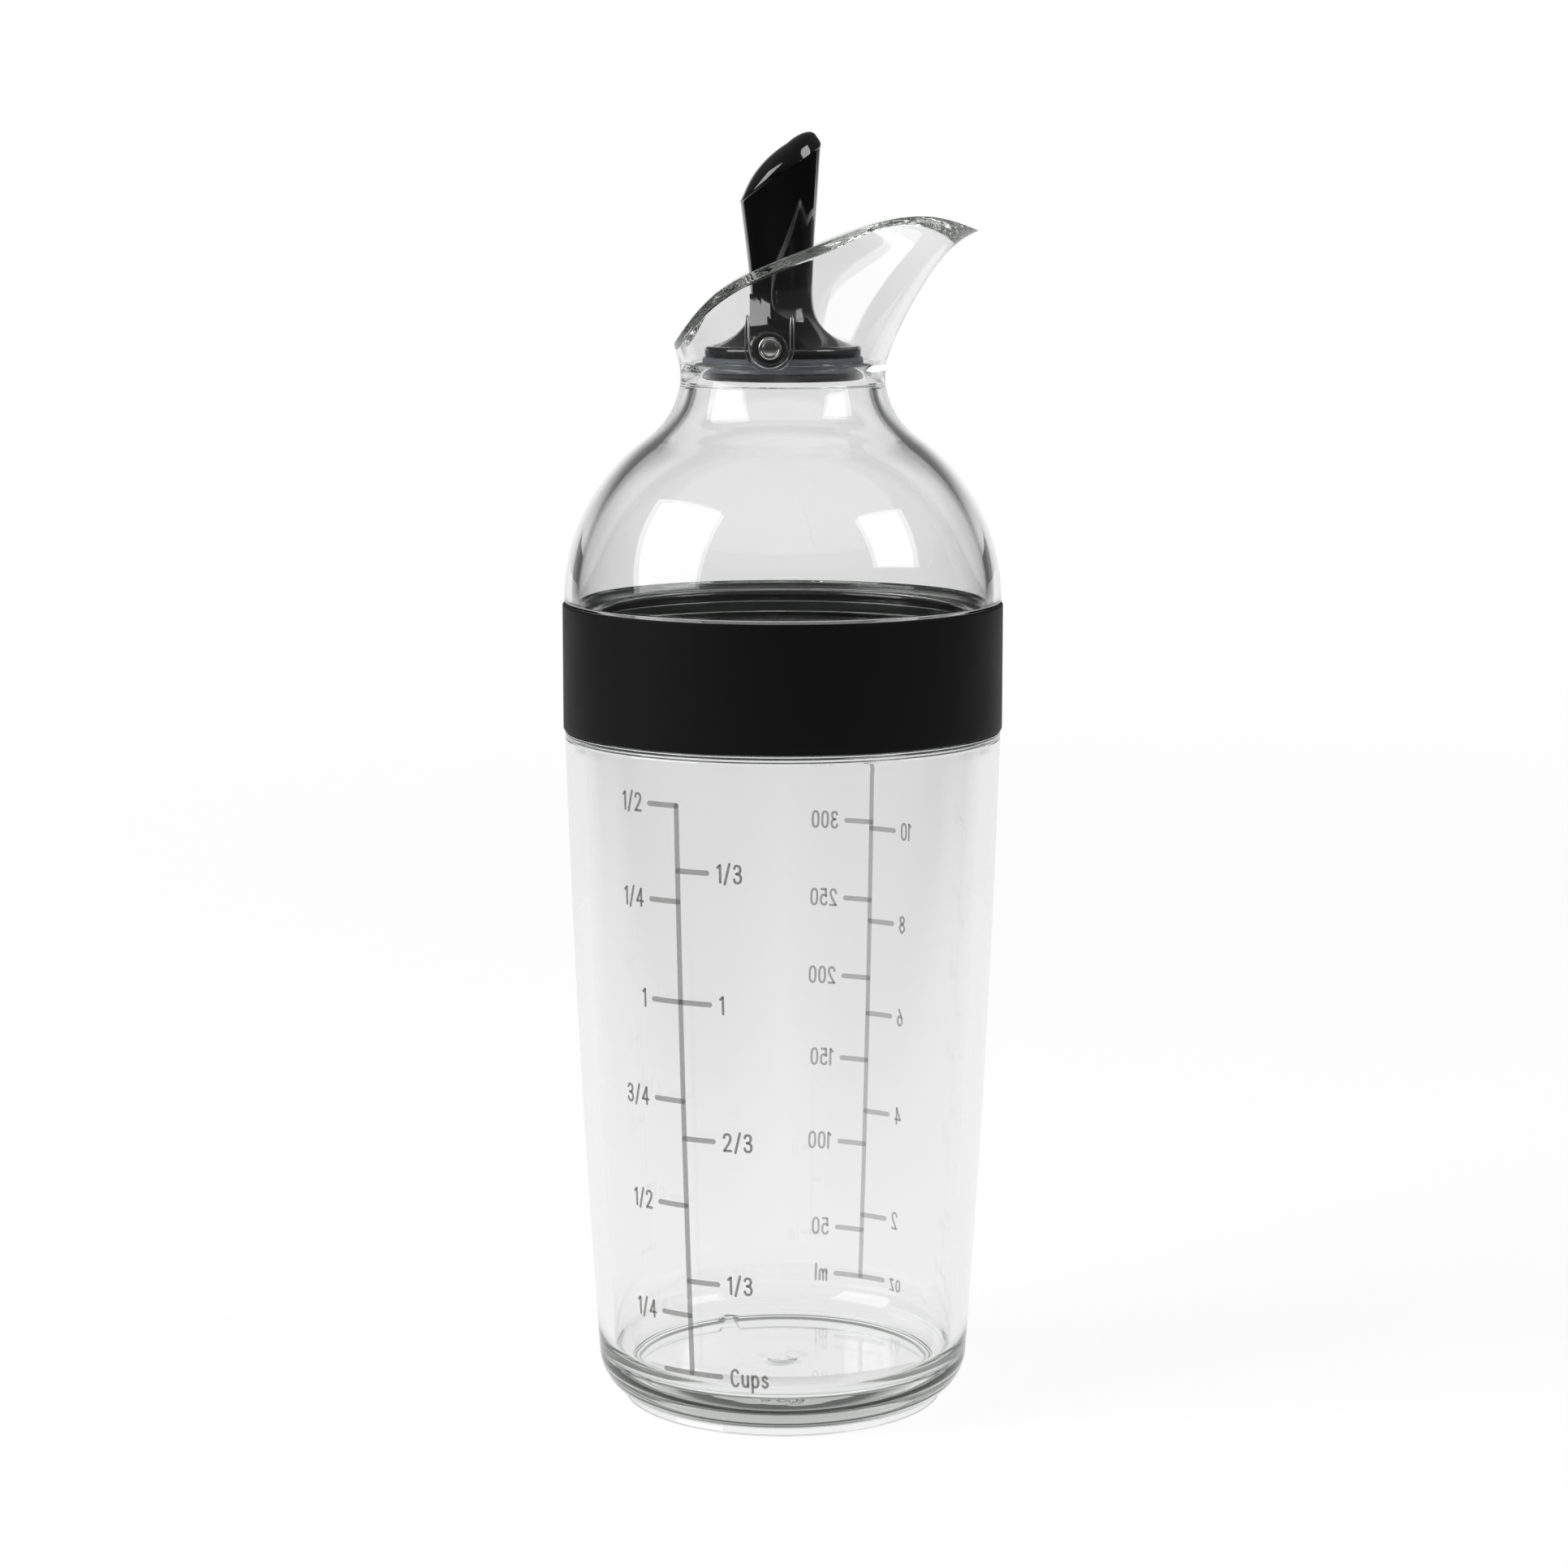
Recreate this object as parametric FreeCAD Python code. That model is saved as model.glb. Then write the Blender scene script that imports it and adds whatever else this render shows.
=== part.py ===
import FreeCAD, Part
import math
import os

# A clear shaker bottle for salad dressing: a measuring cup, a screw-on domed lid with a
# soft grip band, and a spout that a tipping lever opens and closes with a stopper.
# Millimetres, +Z up along the bottle's axis, origin at the middle of the foot ring's
# underside, spout towards +X.

# Foot and floor of the cup
foot_radius = 28.0          # outside of the foot ring
foot_ring_width = 1.6       # flat underside of the ring, with its outer rounding
foot_height = 1.8           # up to the step under the rounded corner
foot_round = 0.6
foot_step = 0.9             # how far the corner stands out over the foot ring
floor_recess = 1.4          # underside of the floor above the table
recess_slope = 1.5          # how far the recess closes in over its depth
floor_thickness = 2.8
gate_radius = 2.8           # dimple of the moulding gate under the floor
gate_depth = 0.5
drain_width = 3.0           # gap in the foot ring that lets rinse water out
drain_angle = 112.0         # turned from the spout, anticlockwise from above

# Side of the cup
base_radius = 32.3          # outside, where the rounded corner meets the side
corner_height = 8.4
top_radius = 37.5           # outside, at the shoulder
cup_height = 116.8          # foot to shoulder
side_bow = 0.55             # how far the side bulges from a straight line
wall_low = 2.6
wall_top = 3.5
inner_corner = 5.0
shoulder_round = 0.5
shoulder_width = 2.9        # step from the side in to the neck
inner_ramp = 1.3            # height of the ramp from the side in to the neck, inside

# Neck of the cup and its screw thread
neck_height = 17.8
neck_wall = 2.0
rim_round = 0.5
thread_pitch = 5.0
thread_turns = 1.25
thread_depth = 0.8
thread_root = 2.0           # width of the ridge at its foot
thread_crest = 1.0          # width of the ridge at its top
thread_start = 5.0          # middle of the cup's ridge above the shoulder, at its start
thread_gap = 0.15           # radial room between a crest and the facing wall
thread_play = 0.2           # axial room between the two ridges
thread_sink = 0.4           # how deep a ridge is rooted in its wall

# Skirt and grip band of the lid
skirt_gap = 0.5             # skirt above the cup's shoulder
skirt_wall = 1.1
band_thickness = 1.1
band_height = 22.2
band_round = 0.6
band_proud = 0.3            # how far the band stands out from the dome

# Gasket and the lid's shelf over it
gasket_thickness = 1.7
gasket_clearance = 0.15     # radial and axial room round the gasket, which the lid turns past
shelf_thickness = 2.0
plug_depth = 1.6            # how far the lid's inner ring reaches into the neck
plug_wall = 1.2
plug_gap = 0.25

# Dome
dome_radius = 33.85         # arc of the dome's side
dome_lift = 0.5             # upright edge of the dome over the band
dome_wall = 2.4
neck_radius = 17.4          # narrowest outside radius, under the spout
neck_fillet = 13.0          # hollow curve between dome and neck
seam_drop = 1.85            # seam of dome and spout below the narrowest level
spigot_length = 2.0         # spout's spigot inside the dome's neck
spigot_wall = 1.1
spigot_gap = 0.04

# Spout
ring_rise = 1.95            # top of the spout's upright ring above the narrowest level
ring_radius = 17.5
bore_radius = 15.0          # seat of the stopper at its lower edge
seat_step = 0.15            # small ledge where the seat meets the flared inside
spout_wall = 1.8
spout_reach = 33.15         # tip of the lip in front of the axis
tip_rise = 24.1             # tip of the lip above the narrowest level
side_flare = 2.0            # widening of the spout towards each side, up to the tip
back_flare = 7.5            # slant of the spout's back, over the same height
back_ease = 0.4             # share of that slant that is lost again towards the top
lean_share = 0.487          # shares of the reach that grow with the height, with its square
curve_share = 0.333         # and with a high power of it, which is the curl of the lip
curl_share = 0.18
curl_power = 12
lip_taper = 0.36            # share by which the lip narrows towards its tip
rim_back_reach = 18.9       # rim of the spout from the side, back to front
rim_back_rise = 4.5
rim_bend_reach = 12.7
rim_bend_rise = 12.4
rim_middle_reach = 4.9
rim_middle_rise = 21.5
rim_crest_reach = 25.45
rim_crest_rise = 26.3

# Hinge of the lever
pin_offset = 2.14           # hinge pin behind the axis
pin_rise = 4.87             # hinge pin above the narrowest level
pin_radius = 1.45
pin_clearance = 0.05
pin_end_round = 0.4
pin_recess_radius = 2.0     # shallow recess round each pin end
pin_recess = 0.4            # depth of that recess from the spout's widest point there
hub_radius = 2.9            # barrel of the lever
hub_gap = 0.3               # room round the barrel in its channel and at its ends
channel_reach = 16.3        # floor of the pivot channels from the bottle's middle plane
channel_height = 9.0        # channels run up out of the flared wall

# Stopper under the lever
seal_thickness = 2.55
seal_clearance = 0.2        # radial room between seal and seat
seal_mouth = 10.0           # hole of the ring seal, and the lever's spigot in it
fit_clearance = 0.03        # room between stopper pieces that are pushed together
retainer_radius = 14.0
retainer_thickness = 1.1
boss_radius = 6.0           # boss of the retainer in the lever's spigot
boss_length = 1.8

# Lever
flange_radius = 13.3
flange_thickness = 1.8
flange_round = 0.7
foot_ledge = 0.3            # flat rim of the flange round the flared foot
foot_flare_height = 2.5     # the foot closes in to a third over this height
stem_back = 3.98            # stem behind, in front of and beside the axis, at the flange
stem_front = 4.1
stem_side = 4.5
back_slope = 0.126          # widening of the stem for each millimetre of height
front_slope = 0.067
side_slope = 0.08
stem_height = 29.9          # flange to the cap's seam, on the axis
seam_angle = 34.6           # slant of the cap's seam
cap_overhang = 0.15
cap_back = 9.2              # thumb cap along its seam, from the axis
cap_front = 8.3
cap_crest = 4.3             # height of the cap over its seam
cap_crest_reach = 4.4
cap_back_bow = 1.4          # bulge of the cap's top behind and in front of the crest
cap_front_bow = 1.5
cap_crown = 6.0             # the cap's top is rounded about a line this far under the seam
peg_radius = 2.6            # peg of the cap in the lever
peg_length = 5.0

# Levels and radii that follow from the sizes above
floor_level = floor_recess + floor_thickness
rim_level = cup_height + neck_height
cup_neck_radius = top_radius - shoulder_width
cup_neck_inside = cup_neck_radius - neck_wall
skirt_level = cup_height + skirt_gap
skirt_inside = cup_neck_radius + thread_depth + thread_gap
skirt_radius = skirt_inside + skirt_wall
band_radius = skirt_radius + band_thickness
band_level = skirt_level + band_height
shelf_level = rim_level + gasket_thickness + 2 * gasket_clearance
plug_radius = cup_neck_inside - plug_gap
dome_base = band_radius - band_proud
dome_middle = dome_base - dome_radius
dome_level = band_level + dome_lift
neck_level = dome_level + math.sqrt(
    (dome_radius + neck_fillet) ** 2 - (neck_radius + neck_fillet - dome_middle) ** 2)
waist_centre = (neck_radius + neck_fillet, neck_level)
seam_level = neck_level - seam_drop
ring_level = neck_level + ring_rise
tip_level = neck_level + tip_rise
pin_level = neck_level + pin_rise
flange_level = ring_level
seal_level = flange_level - seal_thickness
flange_top = flange_level + flange_thickness
cap_level = flange_top + stem_height

VECTOR = FreeCAD.Vector
ORIGIN = VECTOR(0, 0, 0)
ALONG_Y = VECTOR(0, 1, 0)
ALONG_Z = VECTOR(0, 0, 1)
FAR = 4 * top_radius        # larger than anything that is cut
SECTION_POINTS = 24         # points that a level section is drawn through
# Shares of a height at which level sections are drawn: the spout's outside and inside from
# its ring to its tip, with the inside cut running out over the outside, and the lever's stem
OUTSIDE_PARTS = (0, 0.12, 0.26, 0.42, 0.58, 0.72, 0.84, 0.93, 1.0, 1.06, 1.12)
INSIDE_PARTS = OUTSIDE_PARTS + (1.18,)
STEM_PARTS = (0, 0.023, 0.05, 0.09, 0.14, 0.23, 0.36, 0.57, 1)


def at(point):
    """A point (distance from the axis, height) of the XZ plane."""
    return VECTOR(point[0], 0, point[1])


def outline(start, *steps):
    """Closed wire in the XZ plane. A step is a point, or (point on the way, end) for an arc."""
    edges = []
    here = start
    for step in steps + (start,):
        curved = isinstance(step[0], tuple)
        end = step[1] if curved else step
        if curved:
            edges.append(Part.Arc(at(here), at(step[0]), at(end)).toShape())
        elif end != here:
            edges.append(Part.LineSegment(at(here), at(end)).toShape())
        here = end
    return Part.Wire(edges)


def turned(start, *steps):
    """Solid of revolution about the bottle's axis."""
    return Part.Face(outline(start, *steps)).revolve(ORIGIN, ALONG_Z, 360)


def about(centre, first, last):
    """Arc step from first to last about a centre, the short way round."""
    middle = [(first[i] + last[i]) / 2 - centre[i] for i in (0, 1)]
    stretch = math.dist(centre, first) / math.hypot(*middle)
    return (centre[0] + middle[0] * stretch, centre[1] + middle[1] * stretch), last


def bowed(first, last, bow):
    """Arc step from first to last that bulges to the left of its run by bow."""
    run = [last[i] - first[i] for i in (0, 1)]
    left = bow / math.hypot(*run)
    return ((first[0] + last[0]) / 2 - run[1] * left, (first[1] + last[1]) / 2 + run[0] * left), last


def cylinder(radius, bottom, top):
    """Upright cylinder on the bottle's axis."""
    return Part.makeCylinder(radius, top - bottom, VECTOR(0, 0, bottom))


def cross_cylinder(radius, first, last):
    """Cylinder along Y on the hinge pin's line, between two distances from the middle plane."""
    return Part.makeCylinder(radius, last - first, VECTOR(-pin_offset, first, pin_level), ALONG_Y)


def both_sides(make):
    """The same solid at -Y and mirrored to +Y."""
    solid = make()
    return solid.fuse(solid.mirror(ORIGIN, ALONG_Y))


def level_section(level, back, front, side, taper=0):
    """Level closed curve: half an ellipse behind the axis and another half in front of it,
    which narrows by taper towards its tip."""
    points = []
    for step in range(SECTION_POINTS):
        angle = 2 * math.pi * step / SECTION_POINTS
        ahead = max(math.cos(angle), 0)
        reach = front if ahead else back
        width = side * (1 - taper * ahead ** 2)
        points.append(VECTOR(reach * math.cos(angle), width * math.sin(angle), level))
    curve = Part.BSplineCurve()
    curve.interpolate(points, PeriodicFlag=True)
    return Part.Wire(curve.toShape())


def thread(root, crest, start_level):
    """Right-hand helical ridge: a trapezoid carried round the axis, rooted in its wall."""
    outward = 1 if crest > root else -1
    spread = (thread_root - thread_crest) / (2 * thread_depth)
    foot = root - outward * thread_sink
    half_crest = thread_crest / 2
    half_foot = thread_root / 2 + spread * thread_sink
    profile = outline(
        (foot, start_level - half_foot),
        (crest, start_level - half_crest),
        (crest, start_level + half_crest),
        (foot, start_level + half_foot))
    helix = Part.makeHelix(thread_pitch, thread_pitch * thread_turns, root)
    helix.translate(VECTOR(0, 0, start_level))
    return Part.Wire(helix.Edges).makePipeShell([profile], True, True)


def cup():
    """Measuring cup: foot ring, rounded corner, bowed side, shoulder and threaded neck."""
    step_radius = foot_radius + foot_step
    corner_in = base_radius - step_radius
    corner_up = corner_height - foot_height
    corner_radius = (corner_in ** 2 + corner_up ** 2) / (2 * corner_in)
    step_corner = (step_radius, foot_height)
    side_foot = (base_radius, corner_height)
    side_top = (top_radius, cup_height - shoulder_round)
    shoulder = (top_radius - shoulder_round, cup_height)
    rim_corner = (cup_neck_radius, rim_level - rim_round)
    rim_outside = (cup_neck_radius - rim_round, rim_level)
    inner_top = (top_radius - wall_top, cup_height - 2 * inner_ramp)
    inner_low = (base_radius - wall_low, floor_level + inner_corner)
    floor_edge = (inner_low[0] - inner_corner, floor_level)
    foot_flat = (foot_radius - foot_round, 0)
    foot_side = (foot_radius, foot_round)
    foot_inside = foot_radius - foot_ring_width
    gate_top = (0, floor_recess + gate_depth)
    gate_edge = (gate_radius, floor_recess)
    gate_curve = (gate_radius ** 2 + gate_depth ** 2) / (2 * gate_depth)
    body = turned(
        (foot_inside, 0),
        foot_flat,
        about((foot_flat[0], foot_round), foot_flat, foot_side),
        (foot_radius, foot_height),
        step_corner,
        about((base_radius - corner_radius, corner_height), step_corner, side_foot),
        bowed(side_foot, side_top, -side_bow),
        about((shoulder[0], side_top[1]), side_top, shoulder),
        (cup_neck_radius, cup_height),
        rim_corner,
        about((rim_outside[0], rim_corner[1]), rim_corner, rim_outside),
        (cup_neck_inside, rim_level),
        (cup_neck_inside, cup_height - inner_ramp),
        inner_top,
        bowed(inner_top, inner_low, side_bow),
        about((floor_edge[0], inner_low[1]), inner_low, floor_edge),
        (0, floor_level),
        gate_top,
        about((0, gate_top[1] - gate_curve), gate_top, gate_edge),
        (foot_inside - recess_slope, floor_recess))
    drain = Part.makeBox(foot_radius, drain_width, floor_recess, VECTOR(0, -drain_width / 2, 0))
    drain = drain.cut(cylinder(foot_inside - recess_slope, 0, floor_recess))
    drain.rotate(ORIGIN, ALONG_Z, drain_angle)
    ridge = thread(cup_neck_radius, cup_neck_radius + thread_depth, cup_height + thread_start)
    return body.cut(drain).fuse(ridge)


def lid_gasket():
    """Flat silicone washer between the cup's rim and the lid's shelf."""
    inside = plug_radius + gasket_clearance
    outside = skirt_inside - gasket_clearance
    bottom = rim_level + gasket_clearance
    top = bottom + gasket_thickness
    return turned((inside, bottom), (outside, bottom), (outside, top), (inside, top))


def lid_dome():
    """Clear lid: threaded skirt, gasket shelf with its plug ring, dome and neck."""
    inner_radius = dome_radius - dome_wall
    inner_fillet = neck_fillet + dome_wall
    dome_centre = (dome_middle, dome_level)
    reach = dome_radius + neck_fillet
    along = [(waist_centre[i] - dome_centre[i]) / reach for i in (0, 1)]
    outer_blend = tuple(dome_centre[i] + along[i] * dome_radius for i in (0, 1))
    inner_blend = tuple(dome_centre[i] + along[i] * inner_radius for i in (0, 1))
    seam_outside = (waist_centre[0] - math.sqrt(neck_fillet ** 2 - seam_drop ** 2), seam_level)
    spigot_level = seam_level - spigot_length
    spigot_outside = bore_radius + spigot_wall + spigot_gap
    spigot_inside = waist_centre[0] - math.sqrt(
        inner_fillet ** 2 - (neck_level - spigot_level) ** 2)
    shelf_top = shelf_level + shelf_thickness
    plug_inside = plug_radius - plug_wall
    plug_level = rim_level - plug_depth
    inside_foot = (dome_base - dome_wall, dome_level)
    body = turned(
        (skirt_inside, skirt_level),
        (skirt_radius, skirt_level),
        (skirt_radius, band_level),
        (dome_base, band_level),
        (dome_base, dome_level),
        about(dome_centre, (dome_base, dome_level), outer_blend),
        about(waist_centre, outer_blend, seam_outside),
        (spigot_outside, seam_level),
        (spigot_outside, spigot_level),
        (spigot_inside, spigot_level),
        about(waist_centre, (spigot_inside, spigot_level), inner_blend),
        about(dome_centre, inner_blend, inside_foot),
        (inside_foot[0], shelf_top),
        (plug_inside, shelf_top),
        (plug_inside, plug_level),
        (plug_radius, plug_level),
        (plug_radius, shelf_level),
        (skirt_inside, shelf_level))
    overlap = thread_depth - thread_gap
    spacing = thread_crest + (thread_root - thread_crest) / 2 * overlap / thread_depth + thread_play
    ridge = thread(skirt_inside, skirt_inside - thread_depth, cup_height + thread_start - spacing)
    return body.fuse(ridge)


def grip_band():
    """Soft band round the skirt, from its lower edge up to the dome."""
    low_flat = (band_radius - band_round, skirt_level)
    low_side = (band_radius, skirt_level + band_round)
    top_side = (band_radius, band_level - band_round)
    top_flat = (band_radius - band_round, band_level)
    return turned(
        (skirt_radius, skirt_level),
        low_flat,
        about((low_flat[0], low_side[1]), low_flat, low_side),
        top_side,
        about((top_flat[0], top_side[1]), top_side, top_flat),
        (skirt_radius, band_level))


def flare_section(part, inset):
    """Level section of the spout at a part of the way from the ring to the tip. The front
    is steep over the ring and curls out at the lip, by powers of the height."""
    gain = lean_share * part + curve_share * part ** 2 + curl_share * part ** curl_power
    front = ring_radius + (spout_reach - ring_radius) * gain
    back = ring_radius + back_flare * part * (1 - back_ease * part)
    side = ring_radius + side_flare * part
    level = ring_level + part * (tip_level - ring_level)
    return level_section(level, back - inset, front - inset, side - inset, lip_taper * part)


def spout_outside():
    """Solid of the spout's outside, from the seam up past its rim."""
    seam_radius = waist_centre[0] - math.sqrt(neck_fillet ** 2 - seam_drop ** 2)
    rounds = ((seam_level, seam_radius), (neck_level, neck_radius))
    sections = [level_section(level, radius, radius, radius) for level, radius in rounds]
    sections += [flare_section(part, 0) for part in OUTSIDE_PARTS]
    return Part.makeLoft(sections, True)


def spout_inside():
    """Solid of the flared hollow over the stopper's seat."""
    sections = [flare_section(part, spout_wall - seat_step) for part in INSIDE_PARTS[:1]]
    sections += [flare_section(part, spout_wall) for part in INSIDE_PARTS[1:]]
    return Part.makeLoft(sections, True)


def over_rim():
    """Everything above the spout's rim, which is one curve seen from the side."""
    rim = Part.BSplineCurve()
    rim_points = (
        (-rim_back_reach, rim_back_rise),
        (-rim_bend_reach, rim_bend_rise),
        (rim_middle_reach, rim_middle_rise),
        (rim_crest_reach, rim_crest_rise),
        (spout_reach, tip_rise))
    rim.interpolate([at((reach, neck_level + rise)) for reach, rise in rim_points])
    back, front = rim.StartPoint, rim.EndPoint
    back_low = back - rim.tangent(rim.FirstParameter)[0] * ring_radius
    front_low = front + rim.tangent(rim.LastParameter)[0] * ring_radius
    top = tip_level + FAR
    corners = [front, front_low, VECTOR(front_low.x, 0, top), VECTOR(back_low.x, 0, top), back_low, back]
    sides = [Part.LineSegment(*pair).toShape() for pair in zip(corners, corners[1:])]
    face = Part.Face(Part.Wire([rim.toShape()] + sides))
    face.translate(VECTOR(0, -FAR / 2, 0))
    return face.extrude(VECTOR(0, FAR, 0))


def pivot_channel():
    """U-shaped cut inside the spout's wall at -Y, which the lever's barrel drops into."""
    half = hub_radius + hub_gap
    low = (-pin_offset, pin_level - half)
    left = (-pin_offset - half, pin_level)
    right = (-pin_offset + half, pin_level)
    top = pin_level + channel_height
    face = Part.Face(outline(left, (low, right), (right[0], top), (left[0], top)))
    face.translate(VECTOR(0, -channel_reach, 0))
    return face.extrude(VECTOR(0, channel_reach / 2, 0))


def seat_radius(level):
    """Radius of the stopper's conical seat in the spout."""
    rise = level - seal_level
    return bore_radius + rise / seal_thickness * (ring_radius - spout_wall - bore_radius)


def pour_spout():
    """Clear spout: spigot into the dome, ring with the seat, flared lip and pivot channels."""
    spigot_level = seam_level - spigot_length
    seat_top = seat_radius(ring_level)
    spigot = cylinder(bore_radius + spigot_wall, spigot_level, neck_level)
    bore = turned(
        (0, spigot_level - spigot_length),
        (bore_radius, spigot_level - spigot_length),
        (bore_radius, seal_level),
        (seat_top, ring_level),
        (seat_top, ring_level + spout_wall),
        (0, ring_level + spout_wall))
    body = spout_outside().fuse(spigot).cut(spout_inside()).cut(bore).cut(over_rim())
    pin_half = pin_half_length()
    recess = both_sides(lambda: cross_cylinder(pin_recess_radius, -FAR / 4, -pin_half))
    holes = cross_cylinder(pin_radius + pin_clearance, -FAR / 4, FAR / 4)
    return body.cut(both_sides(pivot_channel)).cut(holes).cut(recess)


def pin_half_length():
    """From the middle plane to the floor of the recess round the pin's end."""
    part = (pin_level - ring_level) / (tip_level - ring_level)
    return ring_radius + side_flare * part - pin_recess


def stem(margin):
    """Tapered lever column on its flared foot, widened by margin. It runs past the cap."""
    foot = flange_radius - flange_round - foot_ledge
    top = stem_height + 2 * cap_crest
    sections = []
    for part in STEM_PARTS:
        height = part * top
        flare = math.exp(-height / foot_flare_height)
        sizes = []
        for low, slope in ((stem_back, back_slope), (stem_front, front_slope), (stem_side, side_slope)):
            sizes.append(low + slope * height + (foot - low) * flare + margin)
        sections.append(level_section(flange_top + height, *sizes))
    return Part.makeLoft(sections, True)


def slanted(solid):
    """Turns a solid made about the origin to the slant of the cap's seam, and lifts it there."""
    solid.rotate(ORIGIN, ALONG_Y, -seam_angle)
    solid.translate(VECTOR(0, 0, cap_level))
    return solid


def above_seam():
    """Everything over the slanted seam of the thumb cap."""
    return slanted(Part.makeBox(FAR, FAR, FAR, VECTOR(-FAR / 2, -FAR / 2, 0)))


def cap_peg(clearance):
    """Peg of the cap, square to the seam."""
    return slanted(Part.makeCylinder(peg_radius + clearance, peg_length + clearance, ORIGIN, -ALONG_Z))


def lever():
    """Lever: column on a flared foot, flange, pivot barrel and the spigot that carries the seal."""
    flange_side = (flange_radius, flange_top - flange_round)
    flange_edge = (flange_radius - flange_round, flange_top)
    spigot = seal_mouth - fit_clearance
    socket_top = seal_level + boss_length + fit_clearance
    socket = boss_radius + fit_clearance
    base = turned(
        (socket, seal_level),
        (spigot, seal_level),
        (spigot, flange_level),
        (flange_radius, flange_level),
        flange_side,
        about((flange_edge[0], flange_side[1]), flange_side, flange_edge),
        (0, flange_top),
        (0, socket_top),
        (socket, socket_top))
    barrel_end = channel_reach - hub_gap
    barrel = cross_cylinder(hub_radius, -barrel_end, barrel_end)
    column = stem(0).cut(above_seam()).cut(cap_peg(fit_clearance))
    return base.fuse(column).fuse(barrel).cut(cross_cylinder(pin_radius, -FAR / 4, FAR / 4))


def lever_cap():
    """Thumb cap: crowned top over the slanted seam, and the peg that holds it."""
    crest = (cap_crest_reach, cap_crest)
    back = (-cap_back, 0)
    front = (cap_front, 0)
    profile = outline(
        (-cap_back, -cap_crown),
        back,
        bowed(back, crest, cap_back_bow),
        bowed(crest, front, cap_front_bow),
        (cap_front, -cap_crown))
    crown = Part.Face(profile).revolve(VECTOR(0, 0, -cap_crown), VECTOR(1, 0, 0), 360)
    top = stem(cap_overhang).common(above_seam()).common(slanted(crown))
    return top.fuse(cap_peg(0))


def stopper_seal():
    """Silicone ring whose slanted edge follows the seat in the spout."""
    low = seat_radius(seal_level) - seal_clearance
    high = seat_radius(flange_level) - seal_clearance
    return turned(
        (seal_mouth, seal_level), (low, seal_level), (high, flange_level), (seal_mouth, flange_level))


def seal_retainer():
    """Round plate under the seal, with a boss pushed into the lever's spigot."""
    plate = cylinder(retainer_radius, seal_level - retainer_thickness, seal_level)
    return plate.fuse(cylinder(boss_radius, seal_level, seal_level + boss_length))


def hinge_pin():
    """Steel pin with rounded ends, fixed in the lever and running in the spout's walls."""
    half = pin_half_length()
    pin = cross_cylinder(pin_radius, -half, half)
    ends = [edge for edge in pin.Edges if isinstance(edge.Curve, Part.Circle)]
    return pin.makeFillet(pin_end_round, ends)


NODES = (
    cup, lid_gasket, lid_dome, grip_band, pour_spout,
    lever, lever_cap, stopper_seal, seal_retainer, hinge_pin)

os.makedirs("parts", exist_ok=True)
for node in NODES:
    shape = node().removeSplitter()
    solids = shape.Solids
    box = shape.optimalBoundingBox(False, False)
    print(node.__name__, len(solids), shape.isValid(), round(shape.Volume, 2), box)
    shape.exportStep("parts/" + node.__name__ + ".step")
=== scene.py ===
import functools
import math

import bpy
import numpy as np
from mathutils import Matrix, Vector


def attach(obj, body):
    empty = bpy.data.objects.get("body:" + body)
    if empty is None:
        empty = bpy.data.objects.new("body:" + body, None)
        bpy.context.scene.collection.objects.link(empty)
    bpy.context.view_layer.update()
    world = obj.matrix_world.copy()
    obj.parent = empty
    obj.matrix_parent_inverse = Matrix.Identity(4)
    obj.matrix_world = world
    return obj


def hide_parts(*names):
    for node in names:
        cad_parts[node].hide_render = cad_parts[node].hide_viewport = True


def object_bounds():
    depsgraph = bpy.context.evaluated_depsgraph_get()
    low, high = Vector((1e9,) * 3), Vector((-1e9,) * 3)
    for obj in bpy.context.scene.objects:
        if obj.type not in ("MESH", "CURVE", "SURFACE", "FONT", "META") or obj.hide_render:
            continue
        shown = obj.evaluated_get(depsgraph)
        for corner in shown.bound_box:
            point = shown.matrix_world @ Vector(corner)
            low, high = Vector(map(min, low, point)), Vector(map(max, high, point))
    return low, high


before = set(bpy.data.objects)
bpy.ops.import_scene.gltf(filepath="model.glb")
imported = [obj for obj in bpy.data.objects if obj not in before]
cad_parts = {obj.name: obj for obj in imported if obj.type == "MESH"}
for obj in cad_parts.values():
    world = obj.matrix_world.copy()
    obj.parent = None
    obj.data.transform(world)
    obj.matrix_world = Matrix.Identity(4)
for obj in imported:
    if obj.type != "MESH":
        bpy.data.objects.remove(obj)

bl_info = {
    "name": "Salad Dressing Shaker Bottle",
    "version": (1, 0, 0),
    "blender": (4, 5, 0),
    "location": "3D View > Sidebar > Shaker Bottle",
    "description": "Clear measuring cup with a domed screw lid, grip band, spout and stopper lever",
    "category": "Add Mesh",
}

CAD_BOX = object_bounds()
MM = 0.001
COLUMNS = 288               # columns round a turned piece
SPOUT_COLUMNS = 384         # columns round the spout and the lever
SAMPLE_STEP = 0.05 * MM     # even step along a profile before its corners are softened
TURN_STEP = math.radians(7)     # one point of a profile for each such turn
RUN_STEP = 4 * MM           # and for each such run
WELD_GAP = 0.02 * MM        # air between pieces that touch, so that no two faces coincide
SHARP_EDGE = math.radians(40)   # faces that meet at more than this keep a crisp edge
HALVINGS = 40               # halvings that find where two surfaces meet
HINGE_COLUMNS = 96          # columns round a piece on the hinge's line
THREAD_STEP = 0.2 * MM      # step along a threaded wall, and how near a point of that wall lies
PLAIN_STEP = 1.0            # a step so long that it adds no point


def length(name, description, millimetres):
    """A size of the sidebar, given in millimetres and held in metres."""
    return bpy.props.FloatProperty(
        name=name, description=description, default=millimetres * MM, unit="LENGTH", precision=5)


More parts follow.
